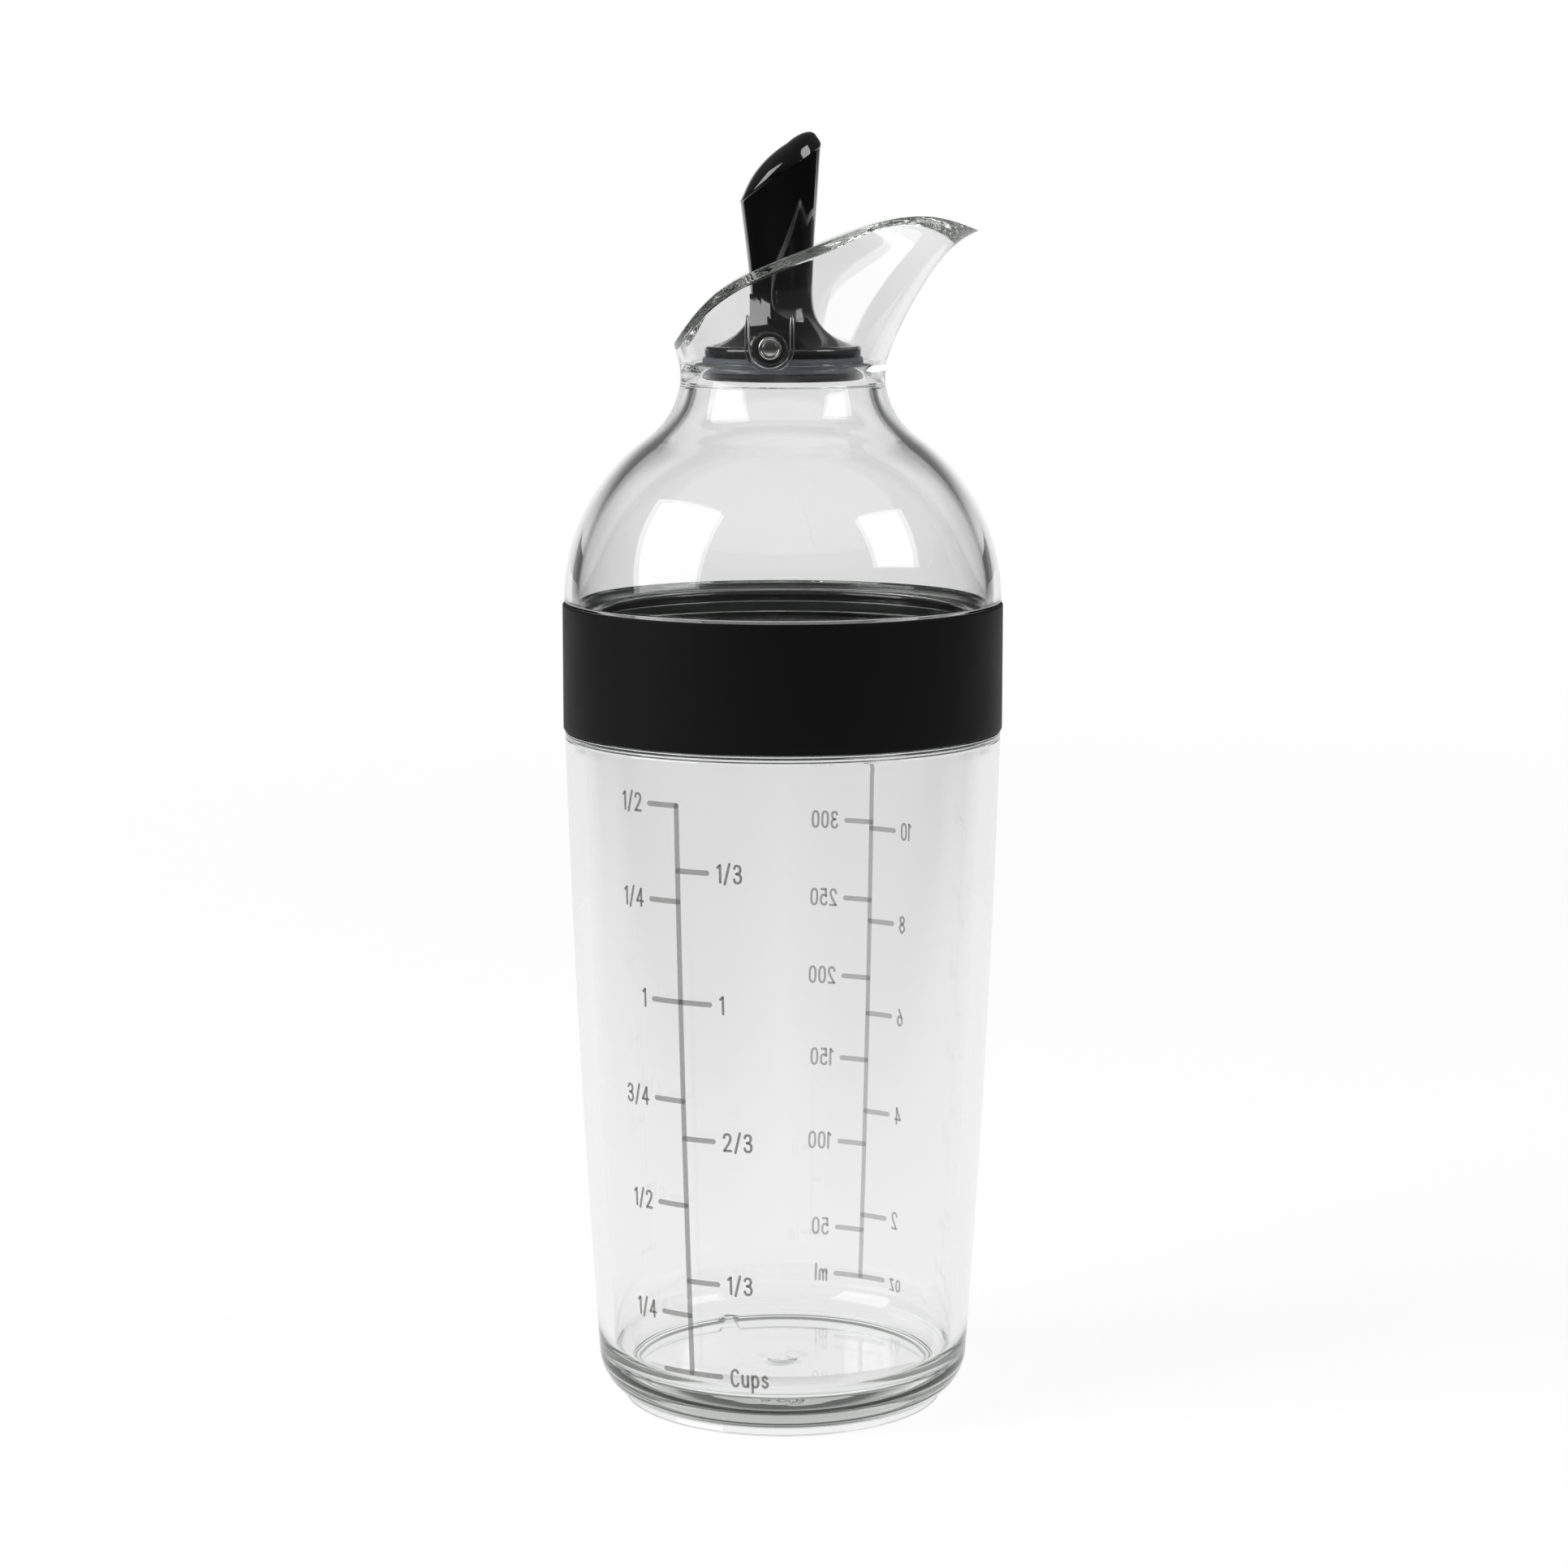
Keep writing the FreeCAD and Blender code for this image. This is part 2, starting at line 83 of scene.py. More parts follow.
def lengths(name, description, *millimetres):
    """A row of sizes of the sidebar, given in millimetres and held in metres."""
    return bpy.props.FloatVectorProperty(
        name=name, description=description, size=len(millimetres), unit="LENGTH",
        default=[value * MM for value in millimetres])


def bearing(name, description, degrees):
    """An angle of the sidebar, given in degrees and held in radians."""
    return bpy.props.FloatProperty(
        name=name, description=description, default=math.radians(degrees), subtype="ANGLE")


def share(name, description, default):
    """A plain factor of the sidebar."""
    return bpy.props.FloatProperty(
        name=name, description=description, default=default, subtype="FACTOR")


def linear(code):
    """Linear red, green, blue of an sRGB hex value: a straight foot, then a power of 2.4."""
    values = np.array([int(code[i:i + 2], 16) for i in (1, 3, 5)]) / 255
    return tuple(np.where(values <= 0.04045, values / 12.92, ((values + 0.055) / 1.055) ** 2.4))


def colour(name, description, code):
    """A colour of the sidebar, given as an sRGB hex value and held as linear light."""
    return bpy.props.FloatVectorProperty(
        name=name, description=description, default=linear(code), size=3, min=0, max=1,
        subtype="COLOR")


class CupSizes(bpy.types.PropertyGroup):
    """Sizes of the clear cup"""
    foot_radius: length("Foot radius", "Outside of the foot ring", 28.0)
    foot_ring_width: length("Foot ring width", "Flat underside of the foot ring", 1.6)
    foot_height: length("Foot height", "From the table to the step under the rounded corner", 1.8)
    foot_round: length("Foot rounding", "Rounded outer edge of the foot ring", 0.6)
    foot_step: length("Foot step", "How far the corner stands out over the foot ring", 0.9)
    floor_recess: length("Floor recess", "Underside of the floor above the table", 2.4)
    recess_slope: length("Recess slope", "How far the recess closes in over its depth", 0.5)
    floor_thickness: length("Floor thickness", "Thickness of the cup's floor", 4.4)
    gate_radius: length("Gate radius", "Round mark of the moulding gate under the floor", 2.6)
    gate_drop: length("Gate drop", "How far that mark bulges down", 0.5)
    drain_width: length("Drain gap", "Gap in the foot ring that lets rinse water out", 3.0)
    drain_angle: bearing("Drain angle", "Place of that gap, anticlockwise from the spout", 112)
    base_radius: length("Base radius", "Outside, where the rounded corner meets the side", 32.3)
    corner_height: length("Corner height", "Top of the rounded corner", 8.4)
    top_radius: length("Top radius", "Outside, at the shoulder", 37.5)
    cup_height: length("Cup height", "From the table to the shoulder", 117.8)
    side_bow: length("Side bow", "How far the side bulges from a straight line", 0.55)
    wall_low: length("Lower wall", "Wall thickness over the rounded corner", 2.6)
    wall_top: length("Upper wall", "Wall thickness under the shoulder", 3.5)
    inner_corner: length("Inner corner", "Rounding between the floor and the inside", 5.0)
    shoulder_width: length("Shoulder width", "Step from the side in to the neck", 2.9)
    line_drop: length("Shoulder line", "Fine line round the cup, below the shoulder", 1.1)
    line_depth: length("Line depth", "Depth and half width of that line", 0.14)
    inner_ramp: length("Inner ramp", "Height of the ramp in to the neck, inside", 1.3)
    neck_height: length("Neck height", "From the shoulder to the rim", 16.8)
    neck_wall: length("Neck wall", "Wall thickness of the neck", 2.0)
    thread_pitch: length("Thread pitch", "Rise of the screw thread in one turn", 5.0)
    thread_turns: bpy.props.FloatProperty(
        name="Thread turns", description="Turns of each thread ridge", default=1.25)
    thread_depth: length("Thread depth", "Height of a thread ridge", 0.8)
    thread_root: length("Thread root", "Width of a ridge at its foot", 2.0)
    thread_crest: length("Thread crest", "Width of a ridge at its top", 1.0)
    thread_start: length("Thread start", "Start of the cup's ridge over the shoulder", 4.0)


class LidSizes(bpy.types.PropertyGroup):
    """Sizes of the dome, its skirt and the grip band"""
    skirt_gap: length("Skirt gap", "Skirt above the cup's shoulder", 0.2)
    skirt_wall: length("Skirt wall", "Wall thickness of the skirt", 1.1)
    thread_gap: length("Thread gap", "Room between a ridge and the facing wall", 0.15)
    thread_play: length("Thread play", "Axial room between the two ridges", 0.2)
    band_thickness: length("Band thickness", "Thickness of the soft grip band", 1.1)
    band_height: length("Band height", "Height of the soft grip band", 21.5)
    band_round: length("Band rounding", "Rounded edges of the grip band", 0.6)
    band_proud: length("Band overhang", "How far the band stands out from the dome", 0.3)
    gasket_thickness: length("Gasket thickness", "Silicone washer between cup and lid", 1.7)
    gasket_clearance: length("Gasket room", "Room round the washer", 0.15)
    shelf_thickness: length("Shelf thickness", "Shelf of the lid over the washer", 2.0)
    plug_depth: length("Plug depth", "How far the lid's inner ring reaches into the neck", 1.6)
    plug_wall: length("Plug wall", "Thickness of that ring", 1.2)
    plug_gap: length("Plug gap", "Room between that ring and the neck", 0.25)
    dome_radius: length("Dome radius", "Arc of the dome's side", 33.85)
    dome_lift: length("Dome edge", "Slanted lower edge of the dome over the band", 0.5)
    shelf_fillet: length("Shelf fillet", "Hollow rounding between the dome and the shelf", 1.3)
    plug_round: length("Plug rounding", "Rounded upper edge of the shelf's hole", 0.8)
    dome_wall: length("Dome wall", "Wall thickness of the dome", 2.4)
    neck_radius: length("Waist radius", "Narrowest outside radius, under the spout", 17.4)
    neck_fillet: length("Waist curve", "Hollow curve between dome and spout", 13.0)
    seam_drop: length("Seam drop", "Seam of dome and spout below the narrowest level", 1.85)


class SpoutSizes(bpy.types.PropertyGroup):
    """Sizes of the spout and its hinge"""
    ring_rise: length("Ring rise", "Top of the upright ring above the narrowest level", 1.95)
    ring_radius: length("Ring radius", "Outside of that ring", 17.5)
    bore_radius: length("Bore radius", "Seat of the stopper at its lower edge", 15.0)
    seat_step: length("Seat step", "Small ledge over the seat", 0.15)
    wall: length("Spout wall", "Wall thickness of the spout", 1.8)
    rim_bevel: length("Rim bevel", "Height of the slanted face inside the rim", 1.9)
    lip_bevel: length("Lip bevel", "Height of that face at the tip of the lip", 4.4)
    back_bevel: length("Back bevel", "Height of that face at the back", 2.5)
    rim_swell: length("Rim swell", "Bulge of that face", 0.15)
    reach: length("Spout reach", "Tip of the lip in front of the axis", 33.15)
    tip_rise: length("Tip rise", "Tip of the lip above the narrowest level", 24.1)
    side_flare: length("Side flare", "Widening towards each side, up to the tip", 2.0)
    back_flare: length("Back flare", "Slant of the back, over the same height", 7.5)
    back_ease: share("Back ease", "Share of that slant that is lost again towards the top", 0.4)
    lean_share: share("Front lean", "Share of the reach that grows with the height", 0.487)
    curve_share: share("Front curve", "Share of the reach that grows with its square", 0.333)
    curl_share: share("Lip curl", "Share of the reach that grows with a high power", 0.18)
    curl_power: bpy.props.IntProperty(name="Curl power", description="That power", default=12)
    lip_taper: share("Lip taper", "Share by which the lip narrows towards its tip", 0.36)
    rim_reach: lengths("Rim reach", "Points of the rim from the side, in front of the axis",
                       -18.9, -12.7, 4.9, 25.45, 33.15)
    rim_rise: lengths("Rim rise", "Those points above the narrowest level",
                      4.5, 12.4, 21.5, 26.3, 24.1)
    pin_offset: length("Pin offset", "Hinge pin behind the axis", 2.14)
    pin_rise: length("Pin rise", "Hinge pin above the narrowest level", 4.87)
    pin_radius: length("Pin radius", "Radius of the hinge pin", 1.45)
    pin_clearance: length("Pin room", "Room round the pin in the spout's walls", 0.05)
    head_radius: length("Pin head", "Radius of the pin's flat heads", 1.9)
    dome_share: share("Head dome", "Share of a head's radius that its raised middle takes", 0.68)
    head_groove: length("Head groove", "Depth of the groove round that middle", 0.28)
    pin_recess_radius: length("Pin recess", "Radius of the shallow recess round each pin end", 2.0)
    pin_recess: length("Recess depth", "Depth of that recess", 0.4)
    hub_radius: length("Hub radius", "Barrel of the lever", 2.9)
    hub_gap: length("Hub gap", "Room round the barrel in its channel", 0.3)
    channel_reach: length("Channel floor", "Floor of the channels from the middle plane", 16.3)
    channel_height: length("Channel height", "Channels run this far up over the pin", 9.0)
    bead_radius: length("Bead radius", "Round bead along the edge of each channel", 0.40)
    bead_height: length("Bead height", "That bead runs this far up over the pin", 5.6)


class LeverSizes(bpy.types.PropertyGroup):
    """Sizes of the lever and its stopper"""
    seal_thickness: length("Seal thickness", "Silicone ring under the lever", 2.0)
    seal_lip: length("Seal lip", "Upper lip of the ring, between its seat and the flange", 0.5)
    seal_clearance: length("Seal room", "Room between the ring and its seat", 0.2)
    seal_mouth: length("Seal mouth", "Hole of the ring", 10.0)
    retainer_radius: length("Retainer radius", "Plate under the ring", 14.0)
    retainer_thickness: length("Retainer thickness", "Thickness of that plate", 1.5)
    flange_radius: length("Flange radius", "Round flange of the lever", 13.3)
    flange_rise: length("Flange rise", "Top of the flange above the spout's upright ring", 2.9)
    flange_thickness: length("Flange thickness", "Thickness of the flange", 1.9)
    flange_round: length("Flange rounding", "Rounded upper edge of the flange", 0.7)
    foot_ledge: length("Foot ledge", "Flat rim of the flange round the flared foot", 0.3)
    foot_flare_height: length("Foot flare", "The foot closes in to a third over this height", 2.5)
    stem_back: length("Stem back", "Stem behind the axis, at the flange", 4.12)
    stem_front: length("Stem front", "Stem in front of the axis, at the flange", 4.17)
    stem_side: length("Stem side", "Stem beside the axis, at the flange", 4.59)
    back_slope: share("Back slope", "Widening behind for each unit of height", 0.126)
    front_slope: share("Front slope", "Widening in front for each unit of height", 0.067)
    side_slope: share("Side slope", "Widening at the sides for each unit of height", 0.08)
    stem_height: length("Stem height", "From the flange to the cap's seam, on the axis", 28.8)
    seam_angle: bearing("Seam angle", "Slant of the thumb cap's seam", 34.6)
    cap_overhang: length("Cap overhang", "How far the cap stands out over the stem", 0.06)
    cap_back: length("Cap back", "Cap along its seam, behind the axis", 9.2)
    cap_front: length("Cap front", "Cap along its seam, in front of the axis", 8.3)
    cap_crest: length("Cap crest", "Height of the cap over its seam", 3.8)
    cap_crest_reach: length("Crest reach", "Place of the cap's crest along the seam", 3.4)
    cap_back_bow: length("Cap back bow", "Bulge of the cap's top behind the crest", 1.15)
    cap_front_height: length("Cap front height", "Height of the cap's top at its front end", 3.75)
    cap_front_bow: length("Cap front bow", "Bulge of the cap's top in front of the crest", 0.2)
    cap_dip: share("Cap dip", "Share of the cap's oval under its widest level, in front", 0.65)
    cap_crown: length("Cap crown", "The top is rounded about a line this far under the seam", 12.0)


class ScaleSizes(bpy.types.PropertyGroup):
    """Sizes of the printed measuring scales"""
    front_angle: bearing("Cups scale angle", "Its place, anticlockwise from the spout", -118)
    base_height: length("Base line", "Base line of the cups scale above the table", 11.5)
    line_width: length("Line width", "Width of the printed lines", 0.9)
    tick_length: length("Tick length", "Length of a tick from its line", 5.3)
    label_gap: length("Label gap", "Space between a tick and its label", 1.9)
    digit_height: length("Digit height", "Height of the printed digits", 2.85)
    digit_stroke: length("Digit stroke", "Line width of the printed digits", 0.43)
    back_lift: length("Volume scale lift", "Height of the ml and oz marks over the cups marks", 2.5)
    print_height: length("Print height", "Thickness of the print on the cup", 0.03)


class BottleColours(bpy.types.PropertyGroup):
    """Colours of all pieces"""
    clear: colour("Clear plastic", "What a thick piece of the plastic lets through", "#738a79")
    band: colour("Grip band", "Soft elastomer of the grip band", "#0b0b0c")
    lever: colour("Lever", "Gloss plastic of the lever and its cap", "#070708")
    silicone: colour("Silicone", "Stopper ring", "#88919b")
    # The washer's dark green-grey is partly its own colour and partly painted shade of the lid's
    # inside
    washer: colour("Washer", "Lid washer", "#454b46")
    steel: colour("Steel", "Hinge pin", "#cfcdc9")
    ink: colour("Scale print", "Printed measuring scale", "#7f807e")
    floor: colour("Floor", "Studio floor", "#f4f4f4")


def levels(scene):
    """Heights and radii that several pieces share, worked out from the sizes like the real fits."""
    cup, lid = scene.bottle_cup, scene.bottle_lid
    spout, lever = scene.bottle_spout, scene.bottle_lever
    at = {}
    at["rim"] = cup.cup_height + cup.neck_height
    at["cup_neck"] = cup.top_radius - cup.shoulder_width
    at["cup_neck_inside"] = at["cup_neck"] - cup.neck_wall
    at["skirt"] = cup.cup_height + lid.skirt_gap
    at["skirt_inside"] = at["cup_neck"] + cup.thread_depth + lid.thread_gap
    at["skirt_outside"] = at["skirt_inside"] + lid.skirt_wall
    at["band_outside"] = at["skirt_outside"] + lid.band_thickness
    at["band"] = at["skirt"]
    at["band_top"] = at["band"] + lid.band_height
    at["shelf"] = at["rim"] + lid.gasket_thickness + 2 * lid.gasket_clearance
    at["plug"] = at["cup_neck_inside"] - lid.plug_gap
    at["dome_base"] = at["band_outside"] - lid.band_proud
    at["dome_foot"] = at["band_top"] + lid.dome_lift
    dome_middle = at["dome_base"] - lid.dome_radius
    waist = lid.neck_radius + lid.neck_fillet
    at["neck"] = at["dome_foot"] + math.sqrt(
        (lid.dome_radius + lid.neck_fillet) ** 2 - (waist - dome_middle) ** 2)
    at["dome_centre"] = np.array((dome_middle, at["dome_foot"]))
    at["waist_centre"] = np.array((waist, at["neck"]))
    at["seam"] = at["neck"] - lid.seam_drop
    at["seam_outside"] = waist - math.sqrt(lid.neck_fillet ** 2 - lid.seam_drop ** 2)
    at["ring"] = at["neck"] + spout.ring_rise
    at["tip"] = at["neck"] + spout.tip_rise
    at["pin"] = at["neck"] + spout.pin_rise
    at["seat"] = at["ring"] - lever.seal_thickness
    at["flange_top"] = at["ring"] + lever.flange_rise
    at["flange"] = at["flange_top"] - lever.flange_thickness
    at["seal"] = at["flange"] - lever.seal_lip - lever.seal_thickness
    at["lever_foot"] = lever.flange_radius - lever.flange_round - lever.foot_ledge
    at["cap"] = at["flange_top"] + lever.stem_height
    at["seat_top"] = spout.ring_radius - spout.wall
    part = (at["pin"] - at["ring"]) / (at["tip"] - at["ring"])
    at["pin_half"] = spout.ring_radius + spout.side_flare * part - spout.pin_recess
    return at


def arc(centre, first, last, steps=24):
    """Points from first to last on their circle about centre, the short way round."""
    centre, first, last = (np.asarray(p, float) for p in (centre, first, last))
    begin = math.atan2(*(first - centre)[::-1])
    turn = math.remainder(math.atan2(*(last - centre)[::-1]) - begin, 2 * math.pi)
    angle = begin + turn * np.linspace(0, 1, steps)
    size = np.hypot(*(first - centre))
    return centre + size * np.column_stack((np.cos(angle), np.sin(angle)))


def bowed(first, last, bow, steps=40):
    """Points from first to last that bulge left of their run, as a parabola of height bow."""
    first, last = np.asarray(first, float), np.asarray(last, float)
    part = np.linspace(0, 1, steps)[:, None]
    run = last - first
    left = np.array((-run[1], run[0])) / np.hypot(*run)
    return first + run * part + left * bow * 4 * part * (1 - part)


def softened(points, edge, closed, fine=None):
    """A profile (radius, height) with soft corners: evenly stepped points take a weighted running
    mean over the edge length, and are then picked out densely where the line turns, sparsely where
    it runs straight, and finely where fine, a function of radius and height, gives a step."""
    line = np.vstack([np.atleast_2d(p) for p in points])
    line = np.vstack((line, line[:1])) if closed else line
    run = np.concatenate(([0], np.cumsum(np.hypot(*np.diff(line, axis=0).T))))
    place = np.linspace(0, run[-1], int(run[-1] / SAMPLE_STEP))
    line = np.column_stack([np.interp(place, run, line[:, i]) for i in (0, 1)])
    half = max(int(edge / SAMPLE_STEP / 2), 1)
    mirror = np.array((-1, 1))
    before = line[-half - 1:-1] if closed else line[half:0:-1] * mirror
    after = line[1:half + 1] if closed else line[-2:-half - 2:-1] * mirror
    weight = np.hanning(2 * half + 3)[1:-1]
    weight = weight / weight.sum()
    longer = np.vstack((before, line, after))
    line = np.column_stack([np.convolve(longer[:, i], weight, "valid") for i in (0, 1)])
    heading = np.unwrap(np.arctan2(*np.gradient(line, axis=0).T[::-1]))
    density = np.abs(np.gradient(heading)) / TURN_STEP + SAMPLE_STEP / RUN_STEP
    if fine is not None:
        density += SAMPLE_STEP / fine(line[:, 0], line[:, 1])
    measure = np.cumsum(density)
    picks = np.linspace(measure[0], measure[-1], int(measure[-1]) + 2)
    line = np.column_stack([np.interp(picks, measure, line[:, i]) for i in (0, 1)])
    return line[:-1] if closed else line


def shell(rings, loop):
    """Closed surface through rings of points (ring, column, xyz). As a loop the last ring joins the
    first, and otherwise the first and last ring close to one point each."""
    count, columns = rings.shape[:2]
    column = np.arange(columns)
    beside = np.roll(column, -1)
    row = np.arange(count if loop else count - 3)[:, None] * columns
    above = np.roll(row, -1, axis=0) if loop else row + columns
    quads = np.stack((row + column, row + beside, above + beside, above + column), axis=-1)
    quads = quads.reshape(-1, 4)
    if loop:
        return rings.reshape(-1, 3), quads, np.empty((0, 3), int)
    points = np.vstack((rings[1:-1].reshape(-1, 3), rings[0].mean(0), rings[-1].mean(0)))
    first, last = len(points) - 2, len(points) - 1
    top = (count - 3) * columns
    start = np.column_stack((np.full(columns, first), beside, column))
    end = np.column_stack((top + column, top + beside, np.full(columns, last)))
    return points, quads, np.vstack((start, end))


def full_turn(columns):
    """Even angles round one turn."""
    return np.linspace(0, 2 * math.pi, columns, endpoint=False)


def unit(runs):
    """Directions of length 1: each run over its own length."""
    return runs / np.linalg.norm(runs, axis=-1, keepdims=True)


def carried_round(radius, height, angle):
    """Rings of points about the axis: x = r cos a, y = r sin a, z = height."""
    return np.stack(np.broadcast_arrays(
        radius * np.cos(angle), radius * np.sin(angle), height), axis=-1)


def turned(profile, loop, swell=None):
    """Surface of revolution with the radius and height of a profile, changed by swell, a function
    of angle, radius and height, where a piece isn't quite round."""
    angle = full_turn(COLUMNS)[None, :]
    radius, height = (profile[:, i][:, None] + 0 * angle for i in (0, 1))
    if swell is not None:
        radius, height = swell(angle, radius, height)
    return shell(carried_round(radius, height, angle), loop)


def joined(parts):
    """One list of points, quads and triangles from several."""
    starts = np.cumsum([0] + [len(points) for points, _, _ in parts[:-1]])
    return (
        np.vstack([points for points, _, _ in parts]),
        np.vstack([quads + start for (_, quads, _), start in zip(parts, starts)]),
        np.vstack([tris + start for (_, _, tris), start in zip(parts, starts)]))


def as_object(name, surface):
    """Object at the origin whose mesh is a surface's points, quads and triangles."""
    points, quads, tris = surface
    mesh = bpy.data.meshes.new(name)
    mesh.vertices.add(len(points))
    mesh.vertices.foreach_set("co", np.ascontiguousarray(points, np.float32).ravel())
    corners = np.concatenate((quads.ravel(), tris.ravel())).astype(np.int32)
    mesh.loops.add(len(corners))
    mesh.loops.foreach_set("vertex_index", corners)
    starts = np.concatenate((4 * np.arange(len(quads)), quads.size + 3 * np.arange(len(tris))))
    mesh.polygons.add(len(starts))
    mesh.polygons.foreach_set("loop_start", starts.astype(np.int32))
    mesh.update(calc_edges=True)
    if mesh.validate():
        raise RuntimeError(name + " has faces that can't be used")
    made = bpy.data.objects.new(name, mesh)
    bpy.context.scene.collection.objects.link(made)
    return made


def combined(made, surface, operation):
    """The object's mesh after another closed surface is cut from it or united with it."""
    tool = as_object(made.name + "_tool", surface)
    step = made.modifiers.new("tool", "BOOLEAN")
    step.operation = operation
    step.solver = "EXACT"
    step.object = tool
    shaped = made.evaluated_get(bpy.context.evaluated_depsgraph_get())
    mesh = bpy.data.meshes.new_from_object(shaped)
    made.modifiers.clear()
    made.data = mesh
    bpy.data.objects.remove(tool)


def finished(made, material, body, slot, *nodes):
    """Smooth shading with crisp edges, the material, the body that the piece rides, and the nodes
    that it stands for."""
    made.data.shade_smooth()
    made.data.set_sharp_from_angle(angle=SHARP_EDGE)
    made.data.materials.clear()
    made.data.materials.append(material)
    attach(made, body)
    if nodes:
        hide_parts(*nodes)


def add_node(tree, kind, inputs, **settings):
    """Adds a shader node with its settings, and fills its sockets with values or links."""
    new = tree.nodes.new(kind)
    for key, value in settings.items():
        setattr(new, key, value)
    for socket, value in inputs.items():
        if isinstance(value, bpy.types.NodeSocket):
            tree.links.new(value, new.inputs[socket])
        else:
            new.inputs[socket].default_value = value
    return new


def made_once(usual_name):
    """Decorator for a function that adds a material's nodes to a tree: it is given the tree and its
    Object coordinates, and gives the output node's sockets. The function that it becomes gives the
    material, which is made when its name is new."""
    def wrapped(build):
        @functools.wraps(build)
        def material(*details, name=usual_name):
            if name not in bpy.data.materials:
                made = bpy.data.materials.new(name)
                made.use_nodes = True
                tree = made.node_tree
                tree.nodes.clear()
                place = add_node(tree, "ShaderNodeTexCoord", {}).outputs["Object"]
                add_node(tree, "ShaderNodeOutputMaterial", build(tree, place, *details))
            return bpy.data.materials[name]
        return material
    return wrapped


def shades(base, low, high):
    """A colour times a low factor and times a high factor."""
    return (*(low * np.array(base)), 1), (*(high * np.array(base)), 1)


@made_once("copolyester_clear_moulded")
def clear_copolyester(tree, place, base):
    """Injection-moulded clear copolyester. It gives the eye a bright polished skin, walls that are
    nearly colourless when looked through and grey-green when looked along, and the faint long
    waves of a moulded wall."""
    wave_length = 16 * MM
    waves = add_node(tree, "ShaderNodeTexNoise", {
        "Vector": place, "Scale": 1 / wave_length, "Detail": 1.0})
    bump = add_node(tree, "ShaderNodeBump", {
        "Height": waves.outputs["Fac"], "Strength": 0.3, "Distance": 0.02 * MM})
    skin = add_node(tree, "ShaderNodeBsdfPrincipled", {
        "Base Color": (1, 1, 1, 1), "Roughness": 0.0, "IOR": 1.55, "Transmission Weight": 1.0,
        "Normal": bump.outputs["Normal"]})
    depth = add_node(tree, "ShaderNodeVolumeAbsorption", {"Color": (*base, 1), "Density": 12.0})
    return {"Surface": skin.outputs["BSDF"], "Volume": depth.outputs["Volume"]}


@made_once("elastomer_black_grained")
def soft_elastomer(tree, place, base):
    """Moulded thermoplastic elastomer. It gives the eye a deep matt black with a fine spark grain
    from the mould, drawn at twice its real size so that it shows."""
    grain_size = 0.3 * MM
    patch_size = 9 * MM
    grain = add_node(tree, "ShaderNodeTexNoise", {
        "Vector": place, "Scale": 1 / grain_size, "Detail": 3.0})
    patches = add_node(tree, "ShaderNodeTexNoise", {
        "Vector": place, "Scale": 1 / patch_size, "Detail": 2.0})
    dark, light = shades(base, 0.55, 1.5)
    tint = add_node(tree, "ShaderNodeMix", {
        0: grain.outputs["Fac"], 6: dark, 7: light}, data_type="RGBA")
    rough = add_node(tree, "ShaderNodeMapRange", {
        "Value": patches.outputs["Fac"], "To Min": 0.52, "To Max": 0.68})
    bump = add_node(tree, "ShaderNodeBump", {
        "Height": grain.outputs["Fac"], "Strength": 0.35, "Distance": 0.03 * MM})
    skin = add_node(tree, "ShaderNodeBsdfPrincipled", {
        "Base Color": tint.outputs[2], "Roughness": rough.outputs["Result"], "IOR": 1.48,
        "Specular IOR Level": 0.2, "Sheen Weight": 0.1, "Sheen Roughness": 0.3,
        "Normal": bump.outputs["Normal"]})
    return {"Surface": skin.outputs["BSDF"]}


@made_once("abs_black_gloss")
def gloss_plastic(tree, place, base):
    """Injection-moulded ABS from a polished mould. It gives the eye a wet black with crisp
    reflections, softened by hair-fine wear and the long waves of a moulded skin."""
    wave_length = 7 * MM
    smear_size = 4 * MM
    waves = add_node(tree, "ShaderNodeTexNoise", {
        "Vector": place, "Scale": 1 / wave_length, "Detail": 1.0})
    smears = add_node(tree, "ShaderNodeTexNoise", {
        "Vector": place, "Scale": 1 / smear_size, "Detail": 6.0})
    rough = add_node(tree, "ShaderNodeMapRange", {
        "Value": smears.outputs["Fac"], "To Min": 0.04, "To Max": 0.12})
    bump = add_node(tree, "ShaderNodeBump", {
        "Height": waves.outputs["Fac"], "Strength": 0.25, "Distance": 0.02 * MM})
    skin = add_node(tree, "ShaderNodeBsdfPrincipled", {
        "Base Color": (*base, 1), "Roughness": rough.outputs["Result"], "IOR": 1.54,
        "Coat Weight": 0.6, "Coat Roughness": 0.06, "Coat IOR": 1.8,
        "Normal": bump.outputs["Normal"]})
    return {"Surface": skin.outputs["BSDF"]}


@made_once("silicone_grey_satin")
def moulded_silicone(tree, place, base):
    """Moulded silicone rubber. It gives the eye an even grey, a satin skin and a little dust."""
    dust_size = 0.5 * MM
    dust = add_node(tree, "ShaderNodeTexNoise", {
        "Vector": place, "Scale": 1 / dust_size, "Detail": 4.0})
    dark, light = shades(base, 0.9, 1.1)
    tint = add_node(tree, "ShaderNodeMix", {
        0: dust.outputs["Fac"], 6: dark, 7: light}, data_type="RGBA")
    rough = add_node(tree, "ShaderNodeMapRange", {
        "Value": dust.outputs["Fac"], "To Min": 0.38, "To Max": 0.52})
    skin = add_node(tree, "ShaderNodeBsdfPrincipled", {
        "Base Color": tint.outputs[2], "Roughness": rough.outputs["Result"], "IOR": 1.42})
    return {"Surface": skin.outputs["BSDF"]}


